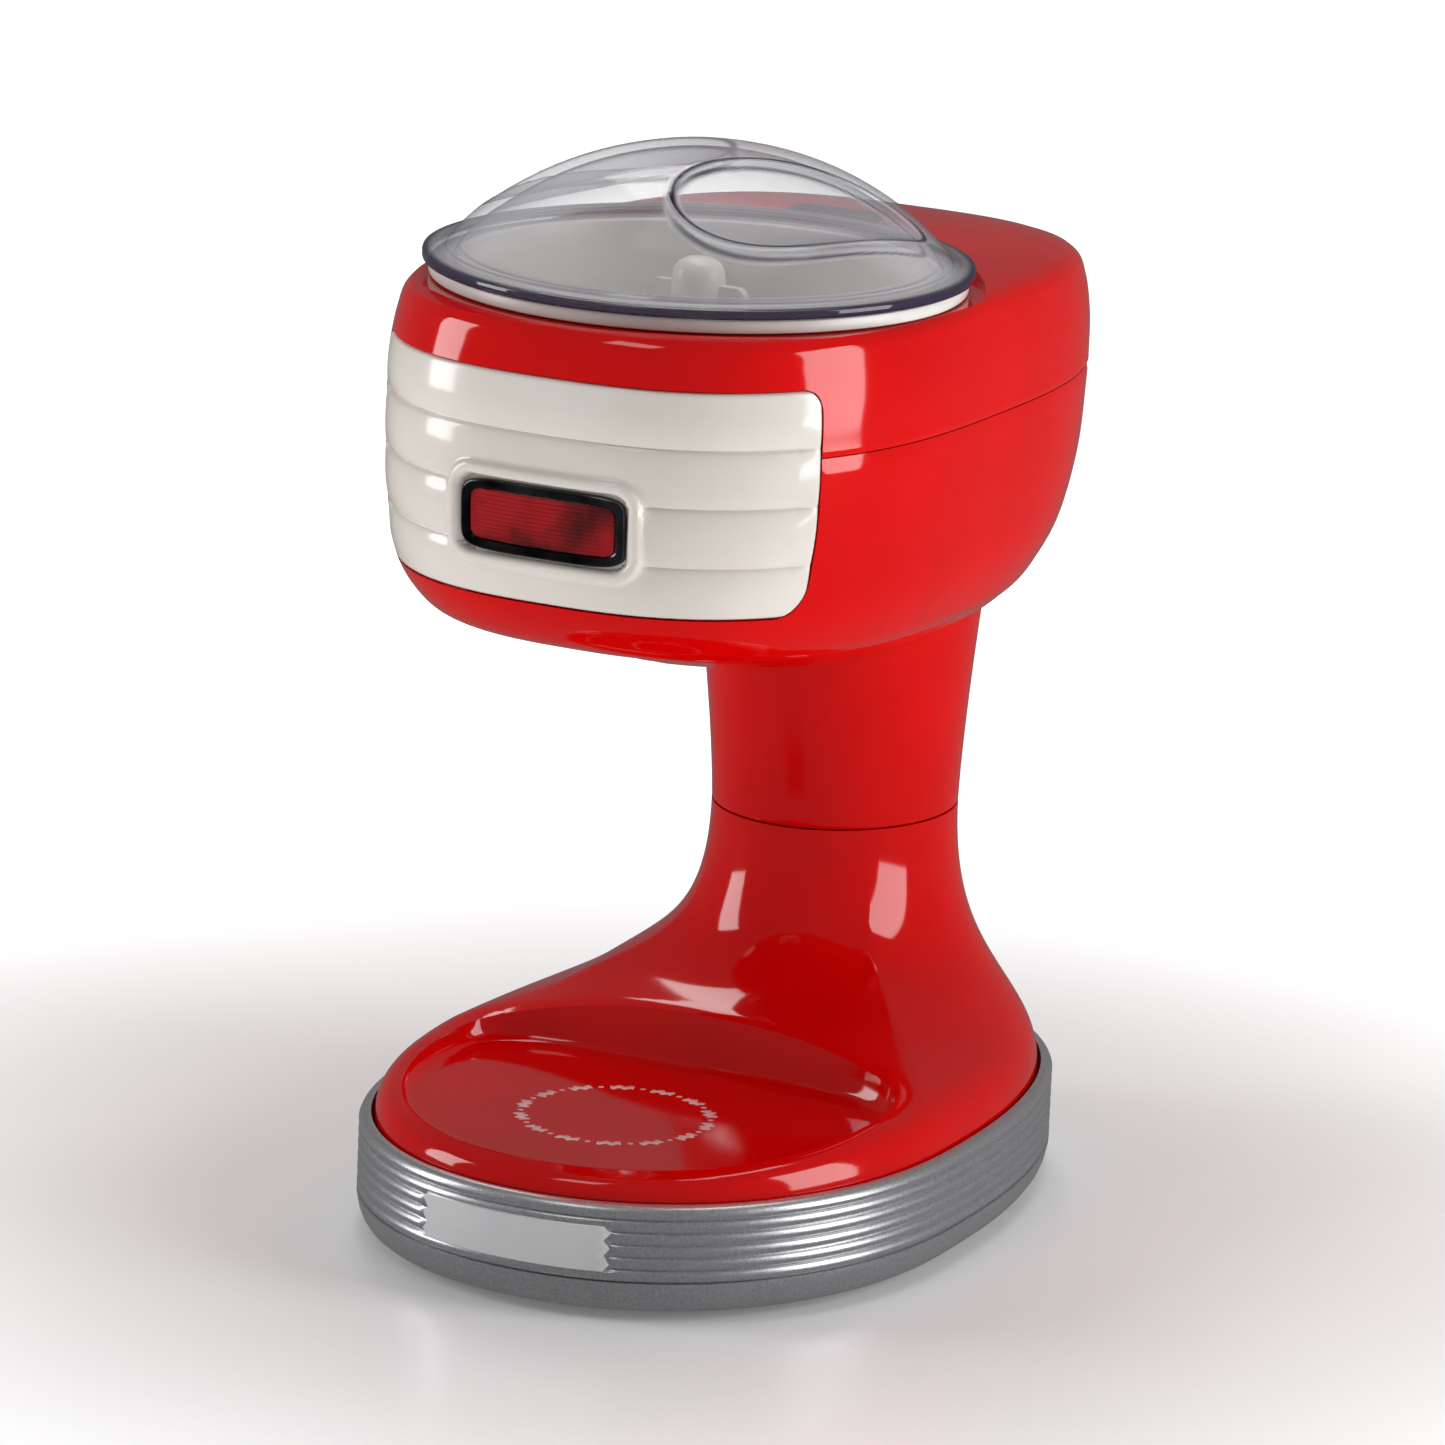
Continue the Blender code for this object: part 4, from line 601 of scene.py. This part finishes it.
def frame_distance(x, z, half_width, half_height, corner):
    """Signed distance to a round-cornered rectangle centred on the badge."""
    over_x, over_z = np.abs(x) - half_width + corner, np.abs(z - BADGE_Z) - half_height + corner
    outside_part = np.hypot(np.maximum(over_x, 0.0), np.maximum(over_z, 0.0))
    return outside_part + np.minimum(np.maximum(over_x, over_z), 0.0) - corner


def panel_relief(z, side):
    """Four rolled bands as arcs between grooves, a rolled outer edge, the bezel's ridge and
    the sunk seat inside it."""
    grooves = np.array([189.0, 203.8, 219.5, 234.9, 251.0])
    band = np.clip(np.searchsorted(grooves, z, "right") - 1, 0, 3)
    t = (z - grooves[band]) / (grooves[band + 1] - grooves[band])
    relief = -1.5 + 1.75 * (np.clip(4.0 * t * (1.0 - t), 0.0, 1.0)) ** 0.42
    edge = np.minimum(np.minimum(z - PANEL_LOW, PANEL_HIGH - z), (1.0 - np.abs(side)) * PANEL_HALF_WIDTH)
    relief = relief * np.clip(edge / 9.0, 0.25, 1.0) - 0.55 * np.clip(1.0 - edge / 0.9, 0.0, 1.0) ** 2
    x = head_front(z, side, 0.0)[..., 0]
    gap = frame_distance(x, z, 24.4, 9.9, 4.0)
    bezel = 1.5 * np.exp(-((gap - 2.2) / 1.7) ** 4)
    calmed = relief + (0.1 - relief) * np.clip((6.0 - gap) / 3.0, 0.0, 1.0)
    relief = np.where(gap < 6.0, calmed, relief) + bezel
    return np.where(gap < 0.25, -1.2, relief)


# Ivory gloss ABS: warm white, slightly less mirror-like than the red, with a faint drift in
# colour across the moulding.
ivory_abs = surface_detail(finish_of("moulded_gloss_abs_ivory", "#E9E3DB", 0.16, IOR=1.54, Coat_Weight=0.3,
                                     Coat_Roughness=0.08),
                           "#EBE5DE", "#E2DBD2", 60.0, 7.0, 0.006, (0.14, 0.2))
z, side, proud = panel_grid(0.0, 141, 221, panel_relief)
panel_front = head_front(z, side, proud)
panel_back = head_front(z, side, -1.8 + 0 * side)
slab("ivory_front_panel", panel_front, panel_back, ivory_abs, "stand", ("front_panel",),
     sharp=38.0)
pockets = []
for index in range(2):
    z, side, proud = panel_grid(0.45, 41, 81, 8.0)
    pockets.append(slab(f"panel_pocket_tool_{index}", head_front(z, side, proud),
                        head_front(z, side, proud - 10.1), red_abs))
carve(head_lower, [lower_hollow, skin("bore_tool", bore, red_abs), outlet, pockets[0]])
carve(head_top, [top_hollow, well, mouth, notch, pin_hole, pockets[1]])

# ---------------------------------------------------------------- Badge
# A dark chrome-plated frame holding a clear red lens with fine ribs moulded behind it, pressed
# into the panel's seat. It carries no wording.

def badge_ring(inset, count=160):
    """A round-cornered, slightly bowed outline: a rectangle-like oval of power 6.5."""
    turn = TURN * (np.arange(count) + 0.5) / count
    cosine, sine = np.cos(turn), np.sin(turn)
    x = (24.0 - inset) * np.sign(cosine) * np.abs(cosine) ** (2 / BADGE_POWER)
    return x, BADGE_Z + (9.5 - inset) * np.sign(sine) * np.abs(sine) ** (2 / BADGE_POWER)


def on_front(x, z, proud):
    """Place points on the head's front surface, pushed out by the proud height."""
    half_width, widest_y, front_y, power = front_sizes(z)
    share = (1.0 - np.abs(x / half_width) ** power) ** (1.0 / power)
    return np.stack([x, widest_y - (widest_y - front_y) * share - proud, z + 0 * x], -1)


rings = []
for inset, proud in ((0.0, -1.0), (0.0, 0.3), (0.25, 0.75), (0.8, 0.95), (1.5, 0.85), (2.2, 0.45), (2.5, 0.0),
                     (2.6, -1.0)):
    x, z = badge_ring(inset)
    rings.append(on_front(x, z, proud))
# Dark chrome plate on ABS: near-black mirror, its tone painted uneven in patches as painted reflection of
# dark surroundings.
dark_chrome = surface_detail(finish_of("dark_chrome_plate", "#3A3A3E", 0.14, 1.0),
                             "#55555A", "#1E1E21", 16.0, 5.0, 0.003, (0.1, 0.2))
skin("dark_badge_frame", np.array(rings), dark_chrome, "stand", ("badge_frame",), loop=True,
     sharp=60.0)
LENS_HALF_HEIGHT, LENS_HALF_WIDTH, LENS_RIB_PITCH = 6.6, 21.0, 1.1
row, col = np.linspace(-1.0, 1.0, 121)[:, None], np.linspace(-1.0, 1.0, 97)[None, :]
lens_z = BADGE_Z + LENS_HALF_HEIGHT * row + 0 * col
lens_x = LENS_HALF_WIDTH * col * (1.0 - np.abs(row) ** 9 * 0.12)
bead_strip = (np.abs(lens_x) > 17.2) & (np.abs(lens_x) < 19.6)
rib_wave = np.abs(np.sin(np.pi * (lens_z - BADGE_Z + LENS_HALF_HEIGHT) / LENS_RIB_PITCH))
ribs = np.where(bead_strip, 0.04, 0.16) * rib_wave
# Clear red acrylic over a dark back: deep red, glassy, brighter and darker in soft patches.
lens_red = surface_detail(finish_of("clear_red_lens_acrylic", "#7E0A10", 0.08, IOR=1.49, Coat_Weight=0.6,
                                    Coat_Roughness=0.03),
                          "#A30F16", "#4E0508", 14.0, 1.1, 0.01, (0.06, 0.12))
slab("ribbed_badge_lens", on_front(lens_x, lens_z, -0.15 + ribs), on_front(lens_x, lens_z, -0.9 + 0 * ribs),
     lens_red, "stand", ("badge_lens",), sharp=60.0)

# ---------------------------------------------------------------- Ice bowl and rotor
# A white satin ABS tub that drops into the head on its rolled rim, with a collar for the drive
# shaft and a slot over the blade. The rotor stands on the shaft's square dog.
# White satin ABS: slightly warm, with a fine even texture of 1.2 mm.
white_abs = surface_detail(finish_of("moulded_satin_abs_white", "#E8E6E0", 0.32, IOR=1.54),
                           "#EAE8E3", "#E2DFD8", 40.0, 1.2, 0.008, (0.28, 0.38))
bowl = turned("white_ice_bowl", [
    (8.5, 200.0), (54.0, 200.0), (56.6, 200.8), (58.0, 204.0), (66.5, 259.8), (66.5, 262.8), (70.9, 262.8),
    (71.4, 263.1), (71.6, 263.8), (71.6, 265.4), (71.3, 266.1), (70.6, 266.4), (64.8, 266.4), (64.2, 266.2),
    (63.9, 265.4), (63.9, 259.8), (56.4, 209.6), (55.3, 206.0), (53.0, 203.4), (50.6, 203.0), (11.4, 203.0),
    (10.6, 203.6), (10.5, 208.4), (10.0, 209.0), (9.0, 209.0), (8.5, 208.6)], BOWL_AXIS, white_abs, "bowl",
    ("ice_bowl",), loop=True, count=160)
holes = [turned(f"blade_hole_tool_{index}", [(1.5, 190.0), (1.5, 202.3)], (13.0, y), white_abs, count=24)
         for index, y in enumerate((-77.0, -57.0))]
carve(bowl, [block("slot_tool", (-7, -82, 190), (7, -52, 210), white_abs), *holes])

hub = turned("white_ice_rotor", [
    (14.0, 204.0), (14.0, 212.4), (13.4, 213.6), (11.4, 217.0), (9.4, 223.0), (8.0, 231.0), (7.3, 240.0),
    (7.2, 263.0), (6.8, 265.6), (5.6, 267.5), (3.6, 268.6), (0.6, 268.9)], BOWL_AXIS, white_abs, "rotor",
    ("ice_rotor",))
corner = TURN * np.arange(48) / 48
plate_x = 11.5 * np.sign(np.cos(corner)) * (np.abs(np.cos(corner)) > 1e-9) + 3.0 * np.cos(corner)
plate_z = 237.0 + 22.0 * np.sign(np.sin(corner)) * (np.abs(np.sin(corner)) > 1e-9) + 3.0 * np.sin(corner)
plate_rings = np.stack([np.stack([plate_x, 0 * corner + y, plate_z], -1) for y in (-33.4, -30.6)])
plate = skin("plate_tool", plate_rings, white_abs)
paddles = []
for index in range(3):
    angle = math.radians(30.0 + 120.0 * index)
    turned_by = np.array([[math.cos(angle), math.sin(angle), 0], [-math.sin(angle), math.cos(angle), 0],
                          [0, 0, 1]])
    outline = np.array([(8, 204), (51, 204), (51, 216), (49.5, 219.6), (46, 221.6), (42, 222), (8, 222)],
                       float)
    walls = np.stack([np.column_stack([outline[:, 0], np.full(7, y), outline[:, 1]]) for y in (-1.4, 1.4)])
    paddles.append(skin(f"paddle_tool_{index}", walls @ turned_by + (*BOWL_AXIS, 0.0), white_abs))
room = turned("collar_room_tool", [(11.2, 190.0), (11.2, 209.8)], BOWL_AXIS, white_abs, count=48)
carve(hub, [room, block("socket_tool", (-4.7, -36.7, 195), (4.7, -27.3, 219), white_abs)], [plate, *paddles])

# ---------------------------------------------------------------- Lid
# One moulding of clear styrene, faintly violet, with a dark violet painted on its thick edges as painted
# shade for
# refraction: a low dome pinched by a scooped finger grip on each side, a flat flange on the bowl's rim, and a
# tongue at the back.
LID_FOOT, LID_INNER_FOOT, LID_WALL = 67.6, 65.4, 2.2
LID_BASE_Z, LID_RISE = 269.4, 29.8
SCOOP_X, SCOOP_SETBACK, SCOOP_DEPTH = 35.0, 10.5, 8.0
SCOOP_HALF_LENGTH, SCOOP_HALF_WIDTH, SCOOP_TAPER = 37.0, 18.5, 0.33


def scoop_nearness(x, y):
    """How far out a place is in its finger scoop: 0 at the middle, 1 on the outline, an egg with
    its blunt end to the front and its tip to the back corner, 74 mm long and 37 mm wide. The
    second scoop is the first turned half a turn about the lid's axis, as on a twist grip."""
    half = np.where(x < 0.0, -1.0, 1.0)
    out, back = half * x - SCOOP_X, half * (y - BOWL_AXIS[1]) + SCOOP_SETBACK
    along = (out * 0.54 + back * 0.84) / SCOOP_HALF_LENGTH
    across = (out * 0.84 - back * 0.54) / SCOOP_HALF_WIDTH
    return np.hypot(along, across / (1.0 - SCOOP_TAPER * np.clip(along, -1.0, 1.0)))


def dome_height(x, y):
    """Outer height: a dome of 29.8 mm less a scoop 8 mm deep on each side. A scoop's depth falls
    with the square of the nearness, so it meets the dome in a crisp fold, and fades at the foot."""
    share = np.clip(np.hypot(x, y - BOWL_AXIS[1]) / LID_FOOT, 0.0, 1.0)
    dome = LID_BASE_Z + LID_RISE * (1.0 - share ** 2.2) ** 0.85
    depth = SCOOP_DEPTH * np.clip(1.0 - scoop_nearness(x, y) ** 2, 0.0, 1.0)
    return np.maximum(dome - depth * np.clip((dome - LID_BASE_Z) / 9.0, 0.0, 1.0), LID_BASE_Z)


lid_share = np.concatenate([[0.004], np.linspace(0.02, 0.9, 84), np.linspace(0.91, 0.999, 18)])[:, None]
lid_turn = TURN * np.arange(320) / 320
lid_x = LID_FOOT * lid_share * np.cos(lid_turn)
lid_y = BOWL_AXIS[1] + LID_FOOT * lid_share * np.sin(lid_turn)
lid_z = dome_height(lid_x, lid_y)
lid_top = np.stack([lid_x, lid_y, lid_z], -1)
inner_x = LID_INNER_FOOT * lid_share * np.cos(lid_turn)
inner_y = BOWL_AXIS[1] + LID_INNER_FOOT * lid_share * np.sin(lid_turn)
lid_under = np.stack([inner_x, inner_y, np.maximum(lid_z - LID_WALL, 266.75)], -1)[::-1]
flange_r = column(68.2, 72.6, 73.2, 73.4, 73.4, 73.2, 72.6, 65.4)
flange_z = column(269.4, 269.4, 269.2, 268.7, 267.4, 266.9, 266.7, 266.7)
flange = np.stack(np.broadcast_arrays(flange_r * np.cos(lid_turn), BOWL_AXIS[1] + flange_r * np.sin(lid_turn),
                                      flange_z), -1)
# Clear styrene: polished, with small waves from the moulding. Seen face on it is nearly colourless, a faint
# violet grey;
# where the eye looks along the wall, and on the thick flange and the folded edges of the scoops, a dark smoky
# violet
# is painted into its colour and opacity: painted shade for refraction. The thick places are an attribute
# worked out from the shape.
clear_lid = surface_detail(finish_of("clear_styrene_moulding", "#EFEDF6", 0.05, IOR=1.57),
                           "#F3F1F8", "#E9E6F2", 50.0, 11.0, 0.05, (0.02, 0.06))
lid_tree = clear_lid.node_tree
lid_shader = lid_tree.nodes["Principled BSDF"]
facing = node(lid_tree, "ShaderNodeLayerWeight", {"Blend": 0.35}).outputs["Facing"]
painted_edge_shade = node(lid_tree, "ShaderNodeAttribute", attribute_name="painted_edge_shade").outputs["Fac"]
grazing = node(lid_tree, "ShaderNodeMapRange",
               {"From Min": 0.3, "From Max": 1.0, "To Min": 0.1, "To Max": 0.75}, {"Value": facing})
edge_cover = node(lid_tree, "ShaderNodeMath", links={0: painted_edge_shade}, operation="MULTIPLY")
edge_cover.inputs[1].default_value = 0.9
cover = node(lid_tree, "ShaderNodeMath", links={0: grazing.outputs["Result"], 1: edge_cover.outputs["Value"]},
             operation="MAXIMUM")
lid_tree.links.new(cover.outputs["Value"], lid_shader.inputs["Alpha"])
# Painted shade: grazing views and the thick places are coloured towards a dark violet.
painted_violet_shade = node(lid_tree, "ShaderNodeMath", links={0: facing, 1: painted_edge_shade}, operation="MAXIMUM")
depth = node(lid_tree, "ShaderNodeValToRGB", links={"Fac": painted_violet_shade.outputs["Value"]})
depth.color_ramp.elements[0].position = 0.4
depth.color_ramp.elements[0].color = linear("#F1EFF6")
depth.color_ramp.elements[1].position = 0.95
depth.color_ramp.elements[1].color = linear("#241A38")
lid_tree.links.new(depth.outputs["Color"], lid_shader.inputs["Base Color"])
lid = skin("clear_lid", np.concatenate([lid_top, flange, lid_under]), clear_lid, "lid", ("lid",),
           sharp=50.0)
carve(lid, (), [block("tongue_tool", (-12, 38.4, 266.7), (12, 52.5, 269.4), clear_lid)], sharp=50.0)
# Painted edge shade for refraction: dark violet lines along the scoops' folds, the outer rim and the dome's
# foot.
at = np.zeros(len(lid.data.vertices) * 3, np.float32)
lid.data.vertices.foreach_get("co", at)
at = at.reshape(-1, 3) / MM
fold = np.exp(-((scoop_nearness(at[:, 0], at[:, 1]) - 1.0) / 0.055) ** 2) * (at[:, 2] > 270.5)
rim = np.clip((np.hypot(at[:, 0], at[:, 1] - BOWL_AXIS[1]) - 71.4) / 1.2, 0.0, 1.0)
foot = 0.8 * np.exp(-((at[:, 2] - 270.0) / 0.7) ** 2)
thickness = np.maximum(np.maximum(fold, rim), foot).astype(np.float32)
lid.data.attributes.new("painted_edge_shade", "FLOAT", "POINT").data.foreach_set("value", thickness)

# ---------------------------------------------------------------- Unseen working parts
# The motor, gears, switch, screws, feet and board keep their own shapes and get the finish of
# what they are. They are screwed, pinned or pressed inside the housings and seldom show.

def refinish(finish, *names):
    """Give CAD nodes one finish in place of their own."""
    for name in names:
        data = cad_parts[name].data
        data.materials.clear()
        data.materials.append(finish)


# Black glass-filled nylon from a spark-eroded tool: dark grey with a fine even grain of 0.8 mm.
black_nylon = surface_detail(finish_of("moulded_black_nylon", "#1B1B1D", 0.5),
                             "#202022", "#161618", 30.0, 0.8, 0.02, (0.45, 0.58))
refinish(black_nylon, "bottom_cover", "neck_sleeve", "gearbox_tray", "gearbox_cover", "motor_end_cap",
         "microswitch", "board_capacitor")
# Black rubber, pressed: matt and slightly dusty.
rubber = surface_detail(finish_of("pressed_black_rubber", "#161616", 0.8),
                        "#1C1C1C", "#111111", 12.0, 0.6, 0.03, (0.7, 0.9))
refinish(rubber, "foot_front_left", "foot_front_right", "foot_rear_left", "foot_rear_right", "cord_gland",
         "supply_lead")
# Zinc-plated and ground steel: grey, with fine marks from turning at 1 mm.
steel = surface_detail(finish_of("ground_steel", "#C4C5C8", 0.3, 1.0),
                       "#CBCCCF", "#AEB0B4", 8.0, 1.0, 0.006, (0.22, 0.4))
refinish(steel, "shaving_blade", "blade_screw_1", "blade_screw_2", "drive_shaft", "motor_shaft", "motor_can",
         "idler_pin", "reduction_pin", "plunger_spring", "motor_screw_1", "motor_screw_2")
refinish(steel, *(f"gearbox_screw_{number}" for number in (1, 2, 3, 4)))
refinish(steel, *(f"foot_screw_{end}_{side}" for end in ("front", "rear") for side in ("left", "right")))
# Natural nylon gears: milky cream, satin.
nylon = surface_detail(finish_of("moulded_natural_nylon", "#E8E2CF", 0.42, Subsurface_Weight=0.1),
                       "#ECE6D4", "#E0D9C3", 20.0, 1.5, 0.01, (0.36, 0.48))
refinish(nylon, "output_gear", "idler_gear", "reduction_gear")
# Turned brass: warm yellow metal with fine lathe marks.
brass = surface_detail(finish_of("turned_brass", "#D6B25E", 0.25, 1.0),
                       "#DDBB68", "#C79F4A", 6.0, 0.8, 0.006, (0.2, 0.34))
refinish(brass, "motor_pinion", "output_bush", "shaft_seal")
# Enamelled copper wire wound on a laminated core.
winding = surface_detail(finish_of("enamelled_copper_winding", "#B4633A", 0.35, 0.9),
                         "#C06E42", "#8E4A29", 2.0, 0.6, 0.05, (0.28, 0.45))
refinish(winding, "motor_core")
# Green epoxy glass board under clear varnish.
board = surface_detail(finish_of("varnished_circuit_board", "#1E6A38", 0.3),
                       "#247541", "#185A2E", 6.0, 1.0, 0.01, (0.25, 0.4))
refinish(board, "rectifier_board")
refinish(white_abs, "ice_chute", "switch_plunger", "switch_holder")
